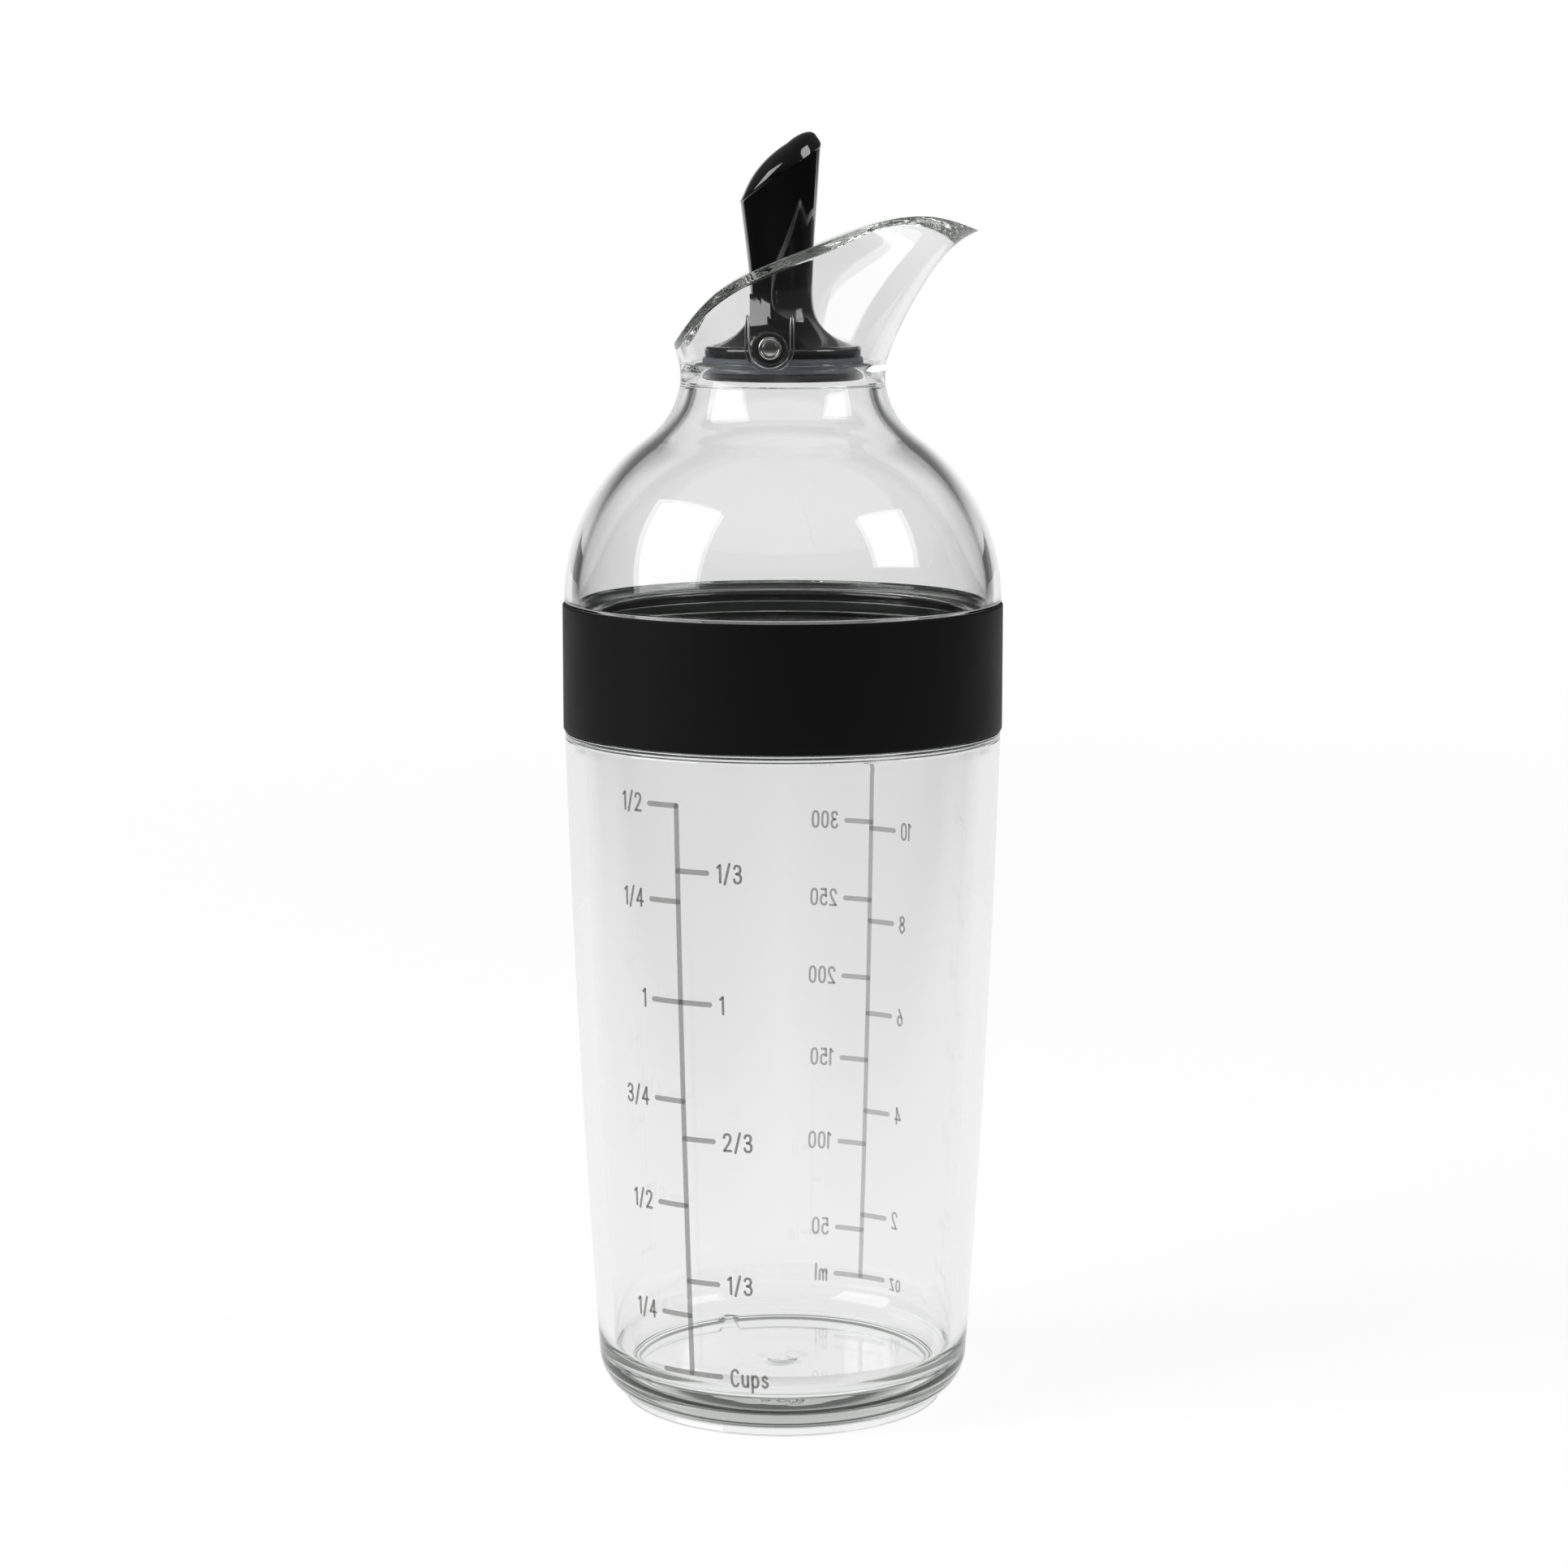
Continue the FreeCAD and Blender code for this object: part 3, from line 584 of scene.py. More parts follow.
@made_once("stainless_steel_turned")
def turned_steel(tree, place, base, middle):
    """Turned stainless steel. It gives the eye a bright pin end with fine rings from the lathe,
    drawn coarser than they are so that they show."""
    ring_spacing = 0.16 * MM
    wave_repeat = 0.314     # length after which a Wave texture of scale 1 repeats
    centred = add_node(tree, "ShaderNodeMapping", {
        "Vector": place, "Location": [-x for x in middle]})
    rings = add_node(tree, "ShaderNodeTexWave", {
        "Vector": centred.outputs["Vector"], "Scale": wave_repeat / ring_spacing,
        "Distortion": 0.4}, wave_type="RINGS", rings_direction="Y")
    rough = add_node(tree, "ShaderNodeMapRange", {
        "Value": rings.outputs["Fac"], "To Min": 0.14, "To Max": 0.26})
    bump = add_node(tree, "ShaderNodeBump", {
        "Height": rings.outputs["Fac"], "Strength": 0.2, "Distance": 0.01 * MM})
    skin = add_node(tree, "ShaderNodeBsdfPrincipled", {
        "Base Color": (*base, 1), "Metallic": 1.0, "Roughness": rough.outputs["Result"],
        "Normal": bump.outputs["Normal"]})
    return {"Surface": skin.outputs["BSDF"]}


@made_once("screen_ink_grey")
def screen_ink(tree, place, base, cover):
    """Screen-printed ink. It gives the eye a flat mid grey, matt and slightly uneven, in a film so
    thin that light comes through: each of its two faces covers a share of what is behind it."""
    mesh_size = 0.35 * MM
    film = add_node(tree, "ShaderNodeTexNoise", {
        "Vector": place, "Scale": 1 / mesh_size, "Detail": 3.0})
    dark, light = shades(base, 0.85, 1.15)
    tint = add_node(tree, "ShaderNodeMix", {
        0: film.outputs["Fac"], 6: dark, 7: light}, data_type="RGBA")
    rough = add_node(tree, "ShaderNodeMapRange", {
        "Value": film.outputs["Fac"], "To Min": 0.5, "To Max": 0.7})
    skin = add_node(tree, "ShaderNodeBsdfPrincipled", {
        "Base Color": tint.outputs[2], "Roughness": rough.outputs["Result"],
        "Specular IOR Level": 0.3, "Alpha": cover})
    return {"Surface": skin.outputs["BSDF"]}


ENDS_PER_TURN = 24          # each end of a ridge fades out over a turn divided by this


def ridge(angle, height, sizes, start):
    """Share of a thread's depth at an angle and height: a trapezoid about a helix that rises one
    pitch a turn from start, with faded ends."""
    turn = np.mod(angle, 2 * math.pi) / (2 * math.pi)
    share_of_depth = 0
    for winding in range(math.ceil(sizes.thread_turns)):
        along = turn + winding
        fade = np.clip(np.minimum(along, sizes.thread_turns - along) * ENDS_PER_TURN, 0, 1)
        off = np.abs(height - start - sizes.thread_pitch * along)
        flank = (sizes.thread_root - sizes.thread_crest) / 2
        share_of_depth = np.maximum(
            share_of_depth, fade * np.clip((sizes.thread_root / 2 - off) / flank, 0, 1))
    return share_of_depth


def cup_outside(cup):
    """Profile of the cup's outside from the foot's step up to the shoulder's edge: the arc of the
    rounded corner, then the bowed side, less a bell-shaped groove close under the shoulder."""
    step_radius = cup.foot_radius + cup.foot_step
    corner_in = cup.base_radius - step_radius
    corner_up = cup.corner_height - cup.foot_height
    corner_radius = (corner_in ** 2 + corner_up ** 2) / (2 * corner_in)
    side_foot = (cup.base_radius, cup.corner_height)
    corner = arc((cup.base_radius - corner_radius, cup.corner_height),
                 (step_radius, cup.foot_height), side_foot)
    side = bowed(side_foot, (cup.top_radius, cup.cup_height), -cup.side_bow)
    line = cup.cup_height - cup.line_drop
    beside_line = np.linspace(-3, 3, 25) * cup.line_depth
    level = np.sort(np.concatenate((side[:, 1], line + beside_line)))
    groove = cup.line_depth * np.exp(-((level - line) / cup.line_depth) ** 2)
    return np.vstack((corner, np.column_stack((np.interp(level, *side.T[::-1]) - groove, level))))


def cup_inside(cup, at):
    """Profile of the cup's inside from the neck down to the middle of the floor."""
    floor = cup.floor_recess + cup.floor_thickness
    top = (cup.top_radius - cup.wall_top, cup.cup_height - cup.inner_ramp / 2)
    low = (cup.base_radius - cup.wall_low, floor + cup.inner_corner)
    edge = (low[0] - cup.inner_corner, floor)
    return np.vstack((
        (at["cup_neck_inside"], at["rim"]),
        (at["cup_neck_inside"], cup.cup_height + cup.inner_ramp / 2),
        bowed(top, low, cup.side_bow),
        arc((edge[0], low[1]), low, edge),
        (0, floor)))


class MakeCup(bpy.types.Operator):
    """Clear cup: foot ring with its drain gap, rounded corner, bowed side and threaded neck, turned
    about the axis"""
    bl_idname = "bottle.make_cup"
    bl_label = "Cup"

    def execute(self, context):
        scene = context.scene
        cup, at = scene.bottle_cup, levels(scene)
        foot_inside = cup.foot_radius - cup.foot_ring_width
        foot_edge = cup.foot_radius - cup.foot_round
        gate_curve = (cup.gate_radius ** 2 + cup.gate_drop ** 2) / (2 * cup.gate_drop)
        gate_low = (0, cup.floor_recess - cup.gate_drop)
        points = (
            arc((0, gate_low[1] + gate_curve), gate_low, (cup.gate_radius, cup.floor_recess)),
            (foot_inside - cup.recess_slope, cup.floor_recess),
            (foot_inside, 0),
            arc((foot_edge, cup.foot_round), (foot_edge, 0), (cup.foot_radius, cup.foot_round), 8),
            (cup.foot_radius, cup.foot_height),
            cup_outside(cup),
            (at["cup_neck"], cup.cup_height),
            (at["cup_neck"], at["rim"]),
            cup_inside(cup, at))
        soft_edge = 0.5 * MM
        gap_flank = 0.5 * MM
        gap_lift = 0.98     # a little short of the recess, so that no faces fall together

        def on_neck(radius, height):
            """Whether points lie on the neck's threaded outside."""
            return (np.abs(radius - at["cup_neck"]) < THREAD_STEP) & (height > cup.cup_height)

        def fine(radius, height):
            """Short steps along the thread only."""
            return np.where(on_neck(radius, height), THREAD_STEP, PLAIN_STEP)

        def swell(angle, radius, height):
            """The thread's ridge added to the radius, and the foot ring lifted at its drain gap."""
            start = cup.cup_height + cup.thread_start
            thread = on_neck(radius, height) * cup.thread_depth * ridge(angle, height, cup, start)
            radius = radius + thread
            along = radius * np.cos(angle - cup.drain_angle)
            across = radius * np.sin(angle - cup.drain_angle)
            inside = (cup.drain_width / 2 - np.abs(across)) / gap_flank
            cut = np.clip(inside + 0.5, 0, gap_lift) * (along > 0) * (height < cup.floor_recess)
            return radius, height + cut * (cup.floor_recess - height)

        profile = softened(points, soft_edge, False, fine)
        made = as_object("clear_cup", turned(profile, False, swell))
        clear = clear_copolyester(scene.bottle_colours.clear)
        finished(made, clear, "cup_body", "clear_copolyester", "cup")
        return {"FINISHED"}


# Printed marks of the cups scale: heights in millimetres above the table
CUP_MARKS = {
    0: 3.4, 1 / 4: 21.7, 1 / 3: 27.8, 1 / 2: 41.0, 2 / 3: 52.7, 3 / 4: 59.1,
    1: 76.1, 5 / 4: 93.1, 4 / 3: 98.3, 3 / 2: 109.2}
LEFT_LABELS = {1 / 4: "1/4", 1 / 2: "1/2", 3 / 4: "3/4", 1: "1", 5 / 4: "1/4", 3 / 2: "1/2"}
RIGHT_LABELS = {1 / 3: "1/3", 2 / 3: "2/3", 1: "1", 4 / 3: "1/3"}
VOLUME_OVERRUN = 1 * MM     # how far the ml and oz line runs on over the cups line
CUP_ML = 236.6
OUNCE_ML = 29.57
# Share of the light that each face of the print covers. Both scales have the same ink; the far
# scale covers less than the near one, a painted lightening that shows it lighter where it is seen
# against the light
INK_COVER = {
    ("cups", "lines"): 0.41, ("cups", "labels"): 0.57,
    ("volume", "lines"): 0.29, ("volume", "labels"): 0.38}
# Strokes lie at one of four levels, a tenth of their thickness apart, so that no two faces coincide
STROKE_LEVELS, LEVEL_STEP = 4, 0.1
LINE_POINTS = 9             # points along a straight stroke, which follows the cup's round
CURVE_STEPS = 6             # steps between two points of a curved stroke
END_STEPS = 5               # steps of a stroke's round end
FIGURE_SPACE = 0.265        # between two figures, as a share of their height
# Condensed plain figures as pen strokes in a box of height 1: the width of the figure, then its
# strokes, each a straight run, an open curve or a closed loop through a few points
FIGURES = {
    "0": (0.40, ("loop", (0.20, 1), (0.36, 0.88), (0.40, 0.5), (0.36, 0.12), (0.20, 0),
                 (0.04, 0.12), (0, 0.5), (0.04, 0.88))),
    "1": (0.15, ("line", (0, 0.86), (0.15, 1), (0.15, 0))),
    "2": (0.40, ("curve", (0, 0.78), (0.06, 0.95), (0.20, 1), (0.34, 0.94), (0.39, 0.76),
                 (0.31, 0.5), (0.14, 0.22), (0, 0)),
          ("line", (0, 0), (0.40, 0))),
    "3": (0.40, ("curve", (0.02, 0.84), (0.08, 0.97), (0.20, 1), (0.34, 0.94), (0.37, 0.76),
                 (0.30, 0.58), (0.14, 0.53)),
          ("curve", (0.14, 0.53), (0.33, 0.46), (0.40, 0.27), (0.34, 0.06), (0.20, 0),
           (0.06, 0.04), (0, 0.2))),
    "4": (0.44, ("line", (0.32, 0), (0.32, 1), (0, 0.28), (0.44, 0.28))),
    "5": (0.40, ("line", (0.37, 1), (0.07, 1), (0.04, 0.56)),
          ("curve", (0.04, 0.56), (0.20, 0.64), (0.35, 0.55), (0.40, 0.31), (0.35, 0.08),
           (0.18, 0), (0.05, 0.05), (0, 0.16))),
    "6": (0.40, ("curve", (0.30, 1), (0.14, 0.68), (0.02, 0.40), (0.04, 0.12), (0.20, 0),
                 (0.36, 0.10), (0.40, 0.31), (0.33, 0.52), (0.20, 0.58), (0.05, 0.46))),
    "8": (0.40, ("loop", (0.20, 1), (0.34, 0.93), (0.36, 0.76), (0.20, 0.53), (0.04, 0.76),
                 (0.06, 0.93)),
          ("loop", (0.20, 0.53), (0.37, 0.40), (0.40, 0.22), (0.20, 0), (0, 0.22),
           (0.03, 0.40))),
    "/": (0.30, ("line", (0, -0.1), (0.30, 1.1))),
    "C": (0.40, ("curve", (0.40, 0.84), (0.31, 0.98), (0.20, 1), (0.05, 0.86), (0, 0.5),
                 (0.05, 0.14), (0.20, 0), (0.31, 0.02), (0.40, 0.16))),
    "u": (0.32, ("curve", (0, 0.68), (0, 0.2), (0.12, 0), (0.27, 0.08), (0.32, 0.2)),
          ("line", (0.32, 0.68), (0.32, 0))),
    "p": (0.34, ("line", (0, 0.68), (0, -0.32)),
          ("curve", (0, 0.5), (0.13, 0.68), (0.29, 0.60), (0.34, 0.34), (0.29, 0.08),
           (0.13, 0), (0, 0.16))),
    "s": (0.28, ("curve", (0.27, 0.56), (0.15, 0.68), (0.03, 0.58), (0.05, 0.43),
                 (0.17, 0.34), (0.28, 0.22), (0.25, 0.06), (0.12, 0), (0, 0.1))),
    "m": (0.48, ("line", (0, 0), (0, 0.68)),
          ("curve", (0, 0.5), (0.13, 0.68), (0.23, 0.58), (0.24, 0.3), (0.24, 0)),
          ("curve", (0.24, 0.5), (0.37, 0.68), (0.47, 0.58), (0.48, 0.3), (0.48, 0))),
    "l": (0.02, ("line", (0.01, 0), (0.01, 1))),
    "o": (0.34, ("loop", (0.17, 0.68), (0.31, 0.58), (0.34, 0.34), (0.31, 0.1), (0.17, 0),
                 (0.03, 0.1), (0, 0.34), (0.03, 0.58))),
    "z": (0.30, ("line", (0.02, 0.68), (0.28, 0.68), (0, 0), (0.30, 0))),
}


def pen_path(kind, points):
    """Paths of one pen stroke: each straight run by itself, or a curve through all the points whose
    slope at a point is half the way between its neighbours: a cubic for each step."""
    points = np.array(points, float)
    if kind == "line":
        return [points[i:i + 2] for i in range(len(points) - 1)]
    if kind == "loop":
        points = np.vstack((points[-1], points, points[:2]))
    else:
        points = np.vstack((2 * points[0] - points[1], points, 2 * points[-1] - points[-2]))
    part = np.linspace(0, 1, CURVE_STEPS + 1)[:-1, None]
    before, first, last, after = (points[i:len(points) - 3 + i, None, :] for i in range(4))
    bend = first + part * (last - before) / 2
    bend = bend + part ** 2 * (before - 2.5 * first + 2 * last - after / 2)
    bend = bend + part ** 3 * (1.5 * first - before / 2 - 1.5 * last + after / 2)
    path = bend.reshape(-1, 2)
    return [path if kind == "loop" else np.vstack((path, points[-2]))]


def print_slab(path, width, on_cup, closed, lift):
    """Thin print along a path (along the cup's round, height): left and right edges half a width
    off the path, with round ends, a slab of rings of four points carried onto the cup."""
    if closed:
        along = np.roll(path, -1, axis=0) - np.roll(path, 1, axis=0)
    else:
        along = np.gradient(path, axis=0)
    along = unit(along)
    half = np.full(len(path), width / 2)
    if not closed:
        bend = np.linspace(math.pi / 2, 0, END_STEPS + 1)[:-1]
        cap = np.sin(bend)[:, None] * width / 2
        path = np.vstack((path[0] - along[0] * cap, path, path[-1] + along[-1] * cap[::-1]))
        half = np.concatenate((np.cos(bend), np.ones(len(along)), np.cos(bend)[::-1])) * width / 2
        along = np.pad(along, ((END_STEPS, END_STEPS), (0, 0)), mode="edge")
    left = np.column_stack((-along[:, 1], along[:, 0])) * half[:, None]
    low, high = on_cup(path + left, lift[0]), on_cup(path + left, lift[1])
    low_right, high_right = on_cup(path - left, lift[0]), on_cup(path - left, lift[1])
    return shell(np.stack((high, low, low_right, high_right), axis=1), closed)


def label_strokes(label, height):
    """Paths of a label's figures from its left end, with its middle at height 0, and its width."""
    strokes, left = [], 0.0
    for figure in label:
        width, *pen = FIGURES[figure]
        for kind, *points in pen:
            for path in pen_path(kind, points):
                strokes.append(((path + (left, -0.5)) * height, kind == "loop"))
        left += width + FIGURE_SPACE
    return strokes, (left - FIGURE_SPACE) * height


class MakeScale(bpy.types.Operator):
    """Printed measuring scales: cups at the front left, millilitres and ounces on the far side, as
    thin slabs that follow the cup's outside"""
    bl_idname = "bottle.make_scale"
    bl_label = "Measuring scales"

    def execute(self, context):
        scene = context.scene
        sizes = scene.bottle_scale
        marks = {amount: height * MM for amount, height in CUP_MARKS.items()}
        left = {marks[amount]: label for amount, label in LEFT_LABELS.items()}
        right = {marks[amount]: label for amount, label in RIGHT_LABELS.items()}
        top = max(marks.values())
        self.print_scale(
            scene, "cups", sizes.front_angle, sizes.base_height, top, (left, ""), (right, "Cups"))

        def height(ml):
            """Level of a volume between the cups marks, lifted to the far scale."""
            level = np.interp(ml / CUP_ML, list(marks), list(marks.values()))
            return float(level) + sizes.back_lift

        ml = {height(amount): str(amount) for amount in range(50, 301, 50)}
        ounces = {height(amount * OUNCE_ML): str(amount) for amount in range(2, 11, 2)}
        base = sizes.base_height + sizes.back_lift / 2
        self.print_scale(
            scene, "volume", sizes.front_angle + math.pi, base, top + VOLUME_OVERRUN,
            (ounces, "oz"), (ml, "ml"))
        return {"FINISHED"}

    def print_scale(self, scene, name, middle, base, top, left, right):
        """One upright line with ticks, and labels to its left and right in a denser film: each side
        has its labels by their heights, and a unit at the base."""
        sizes = scene.bottle_scale
        outside = cup_outside(scene.bottle_cup)

        def on_cup(places, lift):
            """Points (along the cup's round, height) carried onto the cup's outside, and lifted."""
            radius = np.interp(places[:, 1], outside[:, 1], outside[:, 0])
            angle = middle + places[:, 0] / radius
            return carried_round(radius + lift, places[:, 1], angle)

        tick = sizes.tick_length
        lines = [(((0, base), (0, top)), False), (((-tick, base), (tick, base)), False)]
        figures = []
        for side, (labels, unit) in ((-1, left), (1, right)):
            lines += [(((0, height), (side * tick, height)), False) for height in labels]
            for height, label in {**labels, base: unit}.items():
                strokes, width = label_strokes(label, sizes.digit_height)
                start = side * (tick + sizes.label_gap) - (width if side < 0 else 0)
                figures += [(path + (start, height), closed) for path, closed in strokes]
        for part, paths, width in (
                ("lines", lines, sizes.line_width), ("labels", figures, sizes.digit_stroke)):
            slabs = []
            for count, (path, closed) in enumerate(paths):
                low = WELD_GAP / 2 + (count % STROKE_LEVELS) * LEVEL_STEP * sizes.print_height
                lift = (low, low + sizes.print_height)
                path = np.array(path)
                if len(path) == 2:
                    path = path[0] + (path[1] - path[0]) * np.linspace(0, 1, LINE_POINTS)[:, None]
                slabs.append(print_slab(path, width, on_cup, closed, lift))
            made = as_object(f"{name}_{part}", joined(slabs))
            ink = screen_ink(
                scene.bottle_colours.ink, INK_COVER[name, part], name=f"screen_ink_{name}_{part}")
            finished(made, ink, "cup_body", None)


class MakeGasket(bpy.types.Operator):
    """Silicone washer between the cup's rim and the lid, turned about the axis"""
    bl_idname = "bottle.make_gasket"
    bl_label = "Lid washer"

    def execute(self, context):
        scene = context.scene
        lid, at = scene.bottle_lid, levels(scene)
        inside = at["plug"] + lid.gasket_clearance
        outside = at["skirt_inside"] - lid.gasket_clearance
        low = at["rim"] + lid.gasket_clearance
        high = low + lid.gasket_thickness
        points = ((inside, low), (outside, low), (outside, high), (inside, high))
        soft_edge = 0.7 * MM
        made = as_object("lid_washer", turned(softened(points, soft_edge, True), True))
        # A darker, greener copy of the silicone: partly the washer's own colour, partly painted
        # shade of the lid's inside
        grey = moulded_silicone(scene.bottle_colours.washer, name="silicone_satin_painted_shade")
        finished(made, grey, "gasket_ring", "grey_silicone", "lid_gasket")
        return {"FINISHED"}


class MakeDome(bpy.types.Operator):
    """Clear lid: threaded skirt, shelf with its plug ring, dome and neck, turned about the axis"""
    bl_idname = "bottle.make_dome"
    bl_label = "Dome"

    def execute(self, context):
        scene = context.scene
        cup, lid, at = scene.bottle_cup, scene.bottle_lid, levels(scene)
        dome, waist = at["dome_centre"], at["waist_centre"]
        along = (waist - dome) / (lid.dome_radius + lid.neck_fillet)
        outer_blend = dome + along * lid.dome_radius
        inner_blend = dome + along * (lid.dome_radius - lid.dome_wall)
        inner_fillet = lid.neck_fillet + lid.dome_wall
        seam_inside = waist[0] - math.sqrt(inner_fillet ** 2 - lid.seam_drop ** 2)
        shelf_top = at["shelf"] + lid.shelf_thickness
        plug_inside = at["plug"] - lid.plug_wall
        plug_low = at["rim"] - lid.plug_depth
        inside_foot = (at["dome_base"] - lid.dome_wall, at["dome_foot"])
        fillet = (inside_foot[0] - lid.shelf_fillet, shelf_top + lid.shelf_fillet)
        mouth = (plug_inside + lid.plug_round, shelf_top - lid.plug_round)
        points = (
            (at["skirt_inside"], at["skirt"]),
            (at["skirt_outside"], at["skirt"]),
            (at["skirt_outside"], at["band_top"] + WELD_GAP),
            (at["dome_base"] - lid.dome_lift, at["band_top"] + WELD_GAP),
            arc(dome, (at["dome_base"], at["dome_foot"]), outer_blend, 48),
            arc(waist, outer_blend, (at["seam_outside"], at["seam"]), 32),
            arc(waist, (seam_inside, at["seam"]), inner_blend, 32),
            arc(dome, inner_blend, inside_foot, 48),
            arc(fillet, (inside_foot[0], fillet[1]), (fillet[0], shelf_top)),
            arc(mouth, (mouth[0], shelf_top), (plug_inside, mouth[1])),
            (plug_inside, plug_low),
            (at["plug"], plug_low),
            (at["plug"], at["shelf"]),
            (at["skirt_inside"], at["shelf"]))
        soft_edge = 0.4 * MM

        def on_skirt(radius, height):
            """Whether points lie on the skirt's threaded inside."""
            return (np.abs(radius - at["skirt_inside"]) < THREAD_STEP) & (height < at["shelf"])

        def fine(radius, height):
            """Short steps along the thread only."""
            return np.where(on_skirt(radius, height), THREAD_STEP, PLAIN_STEP)

        def swell(angle, radius, height):
            """The thread's ridge taken from the radius, close under the ridge of the cup."""
            overlap = (cup.thread_depth - lid.thread_gap) / cup.thread_depth
            flank = (cup.thread_root - cup.thread_crest) / 2
            spacing = cup.thread_crest + flank * overlap + lid.thread_play
            start = cup.cup_height + cup.thread_start - spacing
            thread = on_skirt(radius, height) * cup.thread_depth * ridge(angle, height, cup, start)
            return radius - thread, height

        made = as_object("clear_dome", turned(softened(points, soft_edge, True, fine), True, swell))
        clear = clear_copolyester(scene.bottle_colours.clear)
        finished(made, clear, "lid", "clear_copolyester", "lid_dome")
        return {"FINISHED"}


class MakeBand(bpy.types.Operator):
    """Soft grip band round the skirt, with rounded edges, turned about the axis"""
    bl_idname = "bottle.make_band"
    bl_label = "Grip band"

    def execute(self, context):
        scene = context.scene
        lid, at = scene.bottle_lid, levels(scene)
        inside = at["skirt_outside"] + WELD_GAP
        points = (
            (inside, at["band"]), (at["band_outside"], at["band"]),
            (at["band_outside"], at["band_top"]), (inside, at["band_top"]))
        soft_edge = 1.6 * lid.band_round    # a mean over this length leaves about that rounding
        made = as_object("soft_grip_band", turned(softened(points, soft_edge, True), True))
        black = soft_elastomer(scene.bottle_colours.band)
        finished(made, black, "lid", "black_elastomer", "grip_band")
        return {"FINISHED"}


def halved(low, high, under):
    """Level of each column between low and high up to which under holds, found by halving."""
    for _ in range(HALVINGS):
        middle = (low + high) / 2
        below = under(middle)
        low = np.where(below, middle, low)
        high = np.where(below, high, middle)
    return low


def level_ring(angle, level, back, front, side, taper=0):
    """Level closed curve: x = front or back reach times cos a, y = side times sin a, narrowed
    towards the tip by taper times the square of cos a."""
    ahead = np.maximum(np.cos(angle), 0)
    across = np.where(np.cos(angle) > 0, front, back) * np.cos(angle)
    return np.stack(np.broadcast_arrays(
        across, side * (1 - taper * ahead ** 2) * np.sin(angle), level), axis=-1)


def flare(angle, level, spout, at, inset):
    """Ring of the spout's wall at a level, which may differ for each column: the ring's radius,
    plus a reach that grows with the height, its square and a high power of it. Under the ring's
    top a soft ramp of one wall's width lets the wall run on upright."""
    rise = level - at["ring"]
    height = at["tip"] - at["ring"]
    part = np.maximum(rise, 0) / height
    ramp = (rise + np.sqrt(rise ** 2 + (spout.wall / 2) ** 2)) / (2 * height)
    gain = (spout.lean_share * ramp + spout.curve_share * part ** 2
            + spout.curl_share * part ** spout.curl_power)
    radius = spout.ring_radius - inset
    front = radius + (spout.reach - spout.ring_radius) * gain
    back = radius + spout.back_flare * ramp * (1 - spout.back_ease * part)
    side = radius + spout.side_flare * ramp
    return level_ring(angle, level, back, front, side, spout.lip_taper * part)


RIM_POINTS = 400            # points of the rim's line
RUN_ON = 200                # steps by which that line runs on straight at each end
OVER_TIP = 4 * MM           # the rim stays under this height over the tip's level


def rim_line(spout, at):
    """The spout's rim from the side: a cubic spline through five points, with free ends that run on
    straight. Gives the rim's height for any distance in front of the axis."""
    knots = np.column_stack((spout.rim_reach, np.array(spout.rim_rise) + at["neck"]))
    gaps = np.hypot(*np.diff(knots, axis=0).T)
    at_knot = np.concatenate(([0], np.cumsum(gaps)))
    matrix = np.zeros((5, 5))
    inner = np.arange(1, 4)
    matrix[0, 0] = matrix[4, 4] = 1
    matrix[inner, inner - 1] = gaps[:-1]
    matrix[inner, inner] = 2 * (gaps[:-1] + gaps[1:])
    matrix[inner, inner + 1] = gaps[1:]
    slopes = np.diff(knots, axis=0) / gaps[:, None]
    turns = np.vstack((np.zeros(2), 6 * np.diff(slopes, axis=0), np.zeros(2)))
    bends = np.linalg.solve(matrix, turns)
    place = np.linspace(0, at_knot[-1], RIM_POINTS)
    piece = np.clip(np.searchsorted(at_knot, place) - 1, 0, 3)
    after = (place - at_knot[piece])[:, None]
    before = (at_knot[piece + 1] - place)[:, None]
    gap = gaps[piece][:, None]
    line = (bends[piece] * before ** 3 + bends[piece + 1] * after ** 3) / (6 * gap)
    line += (knots[piece] / gap - bends[piece] * gap / 6) * before
    line += (knots[piece + 1] / gap - bends[piece + 1] * gap / 6) * after
    first = line[0] - (line[1] - line[0]) * RUN_ON
    last = line[-1] + (line[-1] - line[-2]) * RUN_ON
    line = np.vstack((first, line, last))
    return lambda reach: np.interp(reach, line[:, 0], line[:, 1])


def rim_level(angle, spout, at, inset):
    """Level at which each column of the spout's wall meets the rim."""
    rim = rim_line(spout, at)
    return halved(
        np.full_like(angle, at["ring"]), np.full_like(angle, at["tip"] + OVER_TIP),
        lambda level: level < rim(flare(angle, level, spout, at, inset)[..., 0]))


def about_hinge(radii, along, at, spout):
    """Surface turned about the hinge's line: x = r sin a, z = r cos a from the pin's middle, and y
    along the pin."""
    angle = full_turn(HINGE_COLUMNS)
    rings = np.stack(np.broadcast_arrays(
        -spout.pin_offset + radii[:, None] * np.sin(angle), along[:, None] + 0 * angle,
        at["pin"] + radii[:, None] * np.cos(angle)), axis=-1)
    return shell(rings, False)


def cross_bar(radius, first, last, at, spout, edge=0.0):
    """Round bar on the hinge's line between two distances from the middle plane, with its ends
    rounded by edge: r = radius less the rounding."""
    bend = np.linspace(0, math.pi / 2, 8 if edge else 2)
    radii = np.concatenate(([0], radius - edge + edge * np.sin(bend)))
    out = np.concatenate(([0], edge - edge * np.cos(bend)))
    along = np.concatenate((first + out, (last - out)[::-1]))
    return about_hinge(np.concatenate((radii, radii[::-1])), along, at, spout)


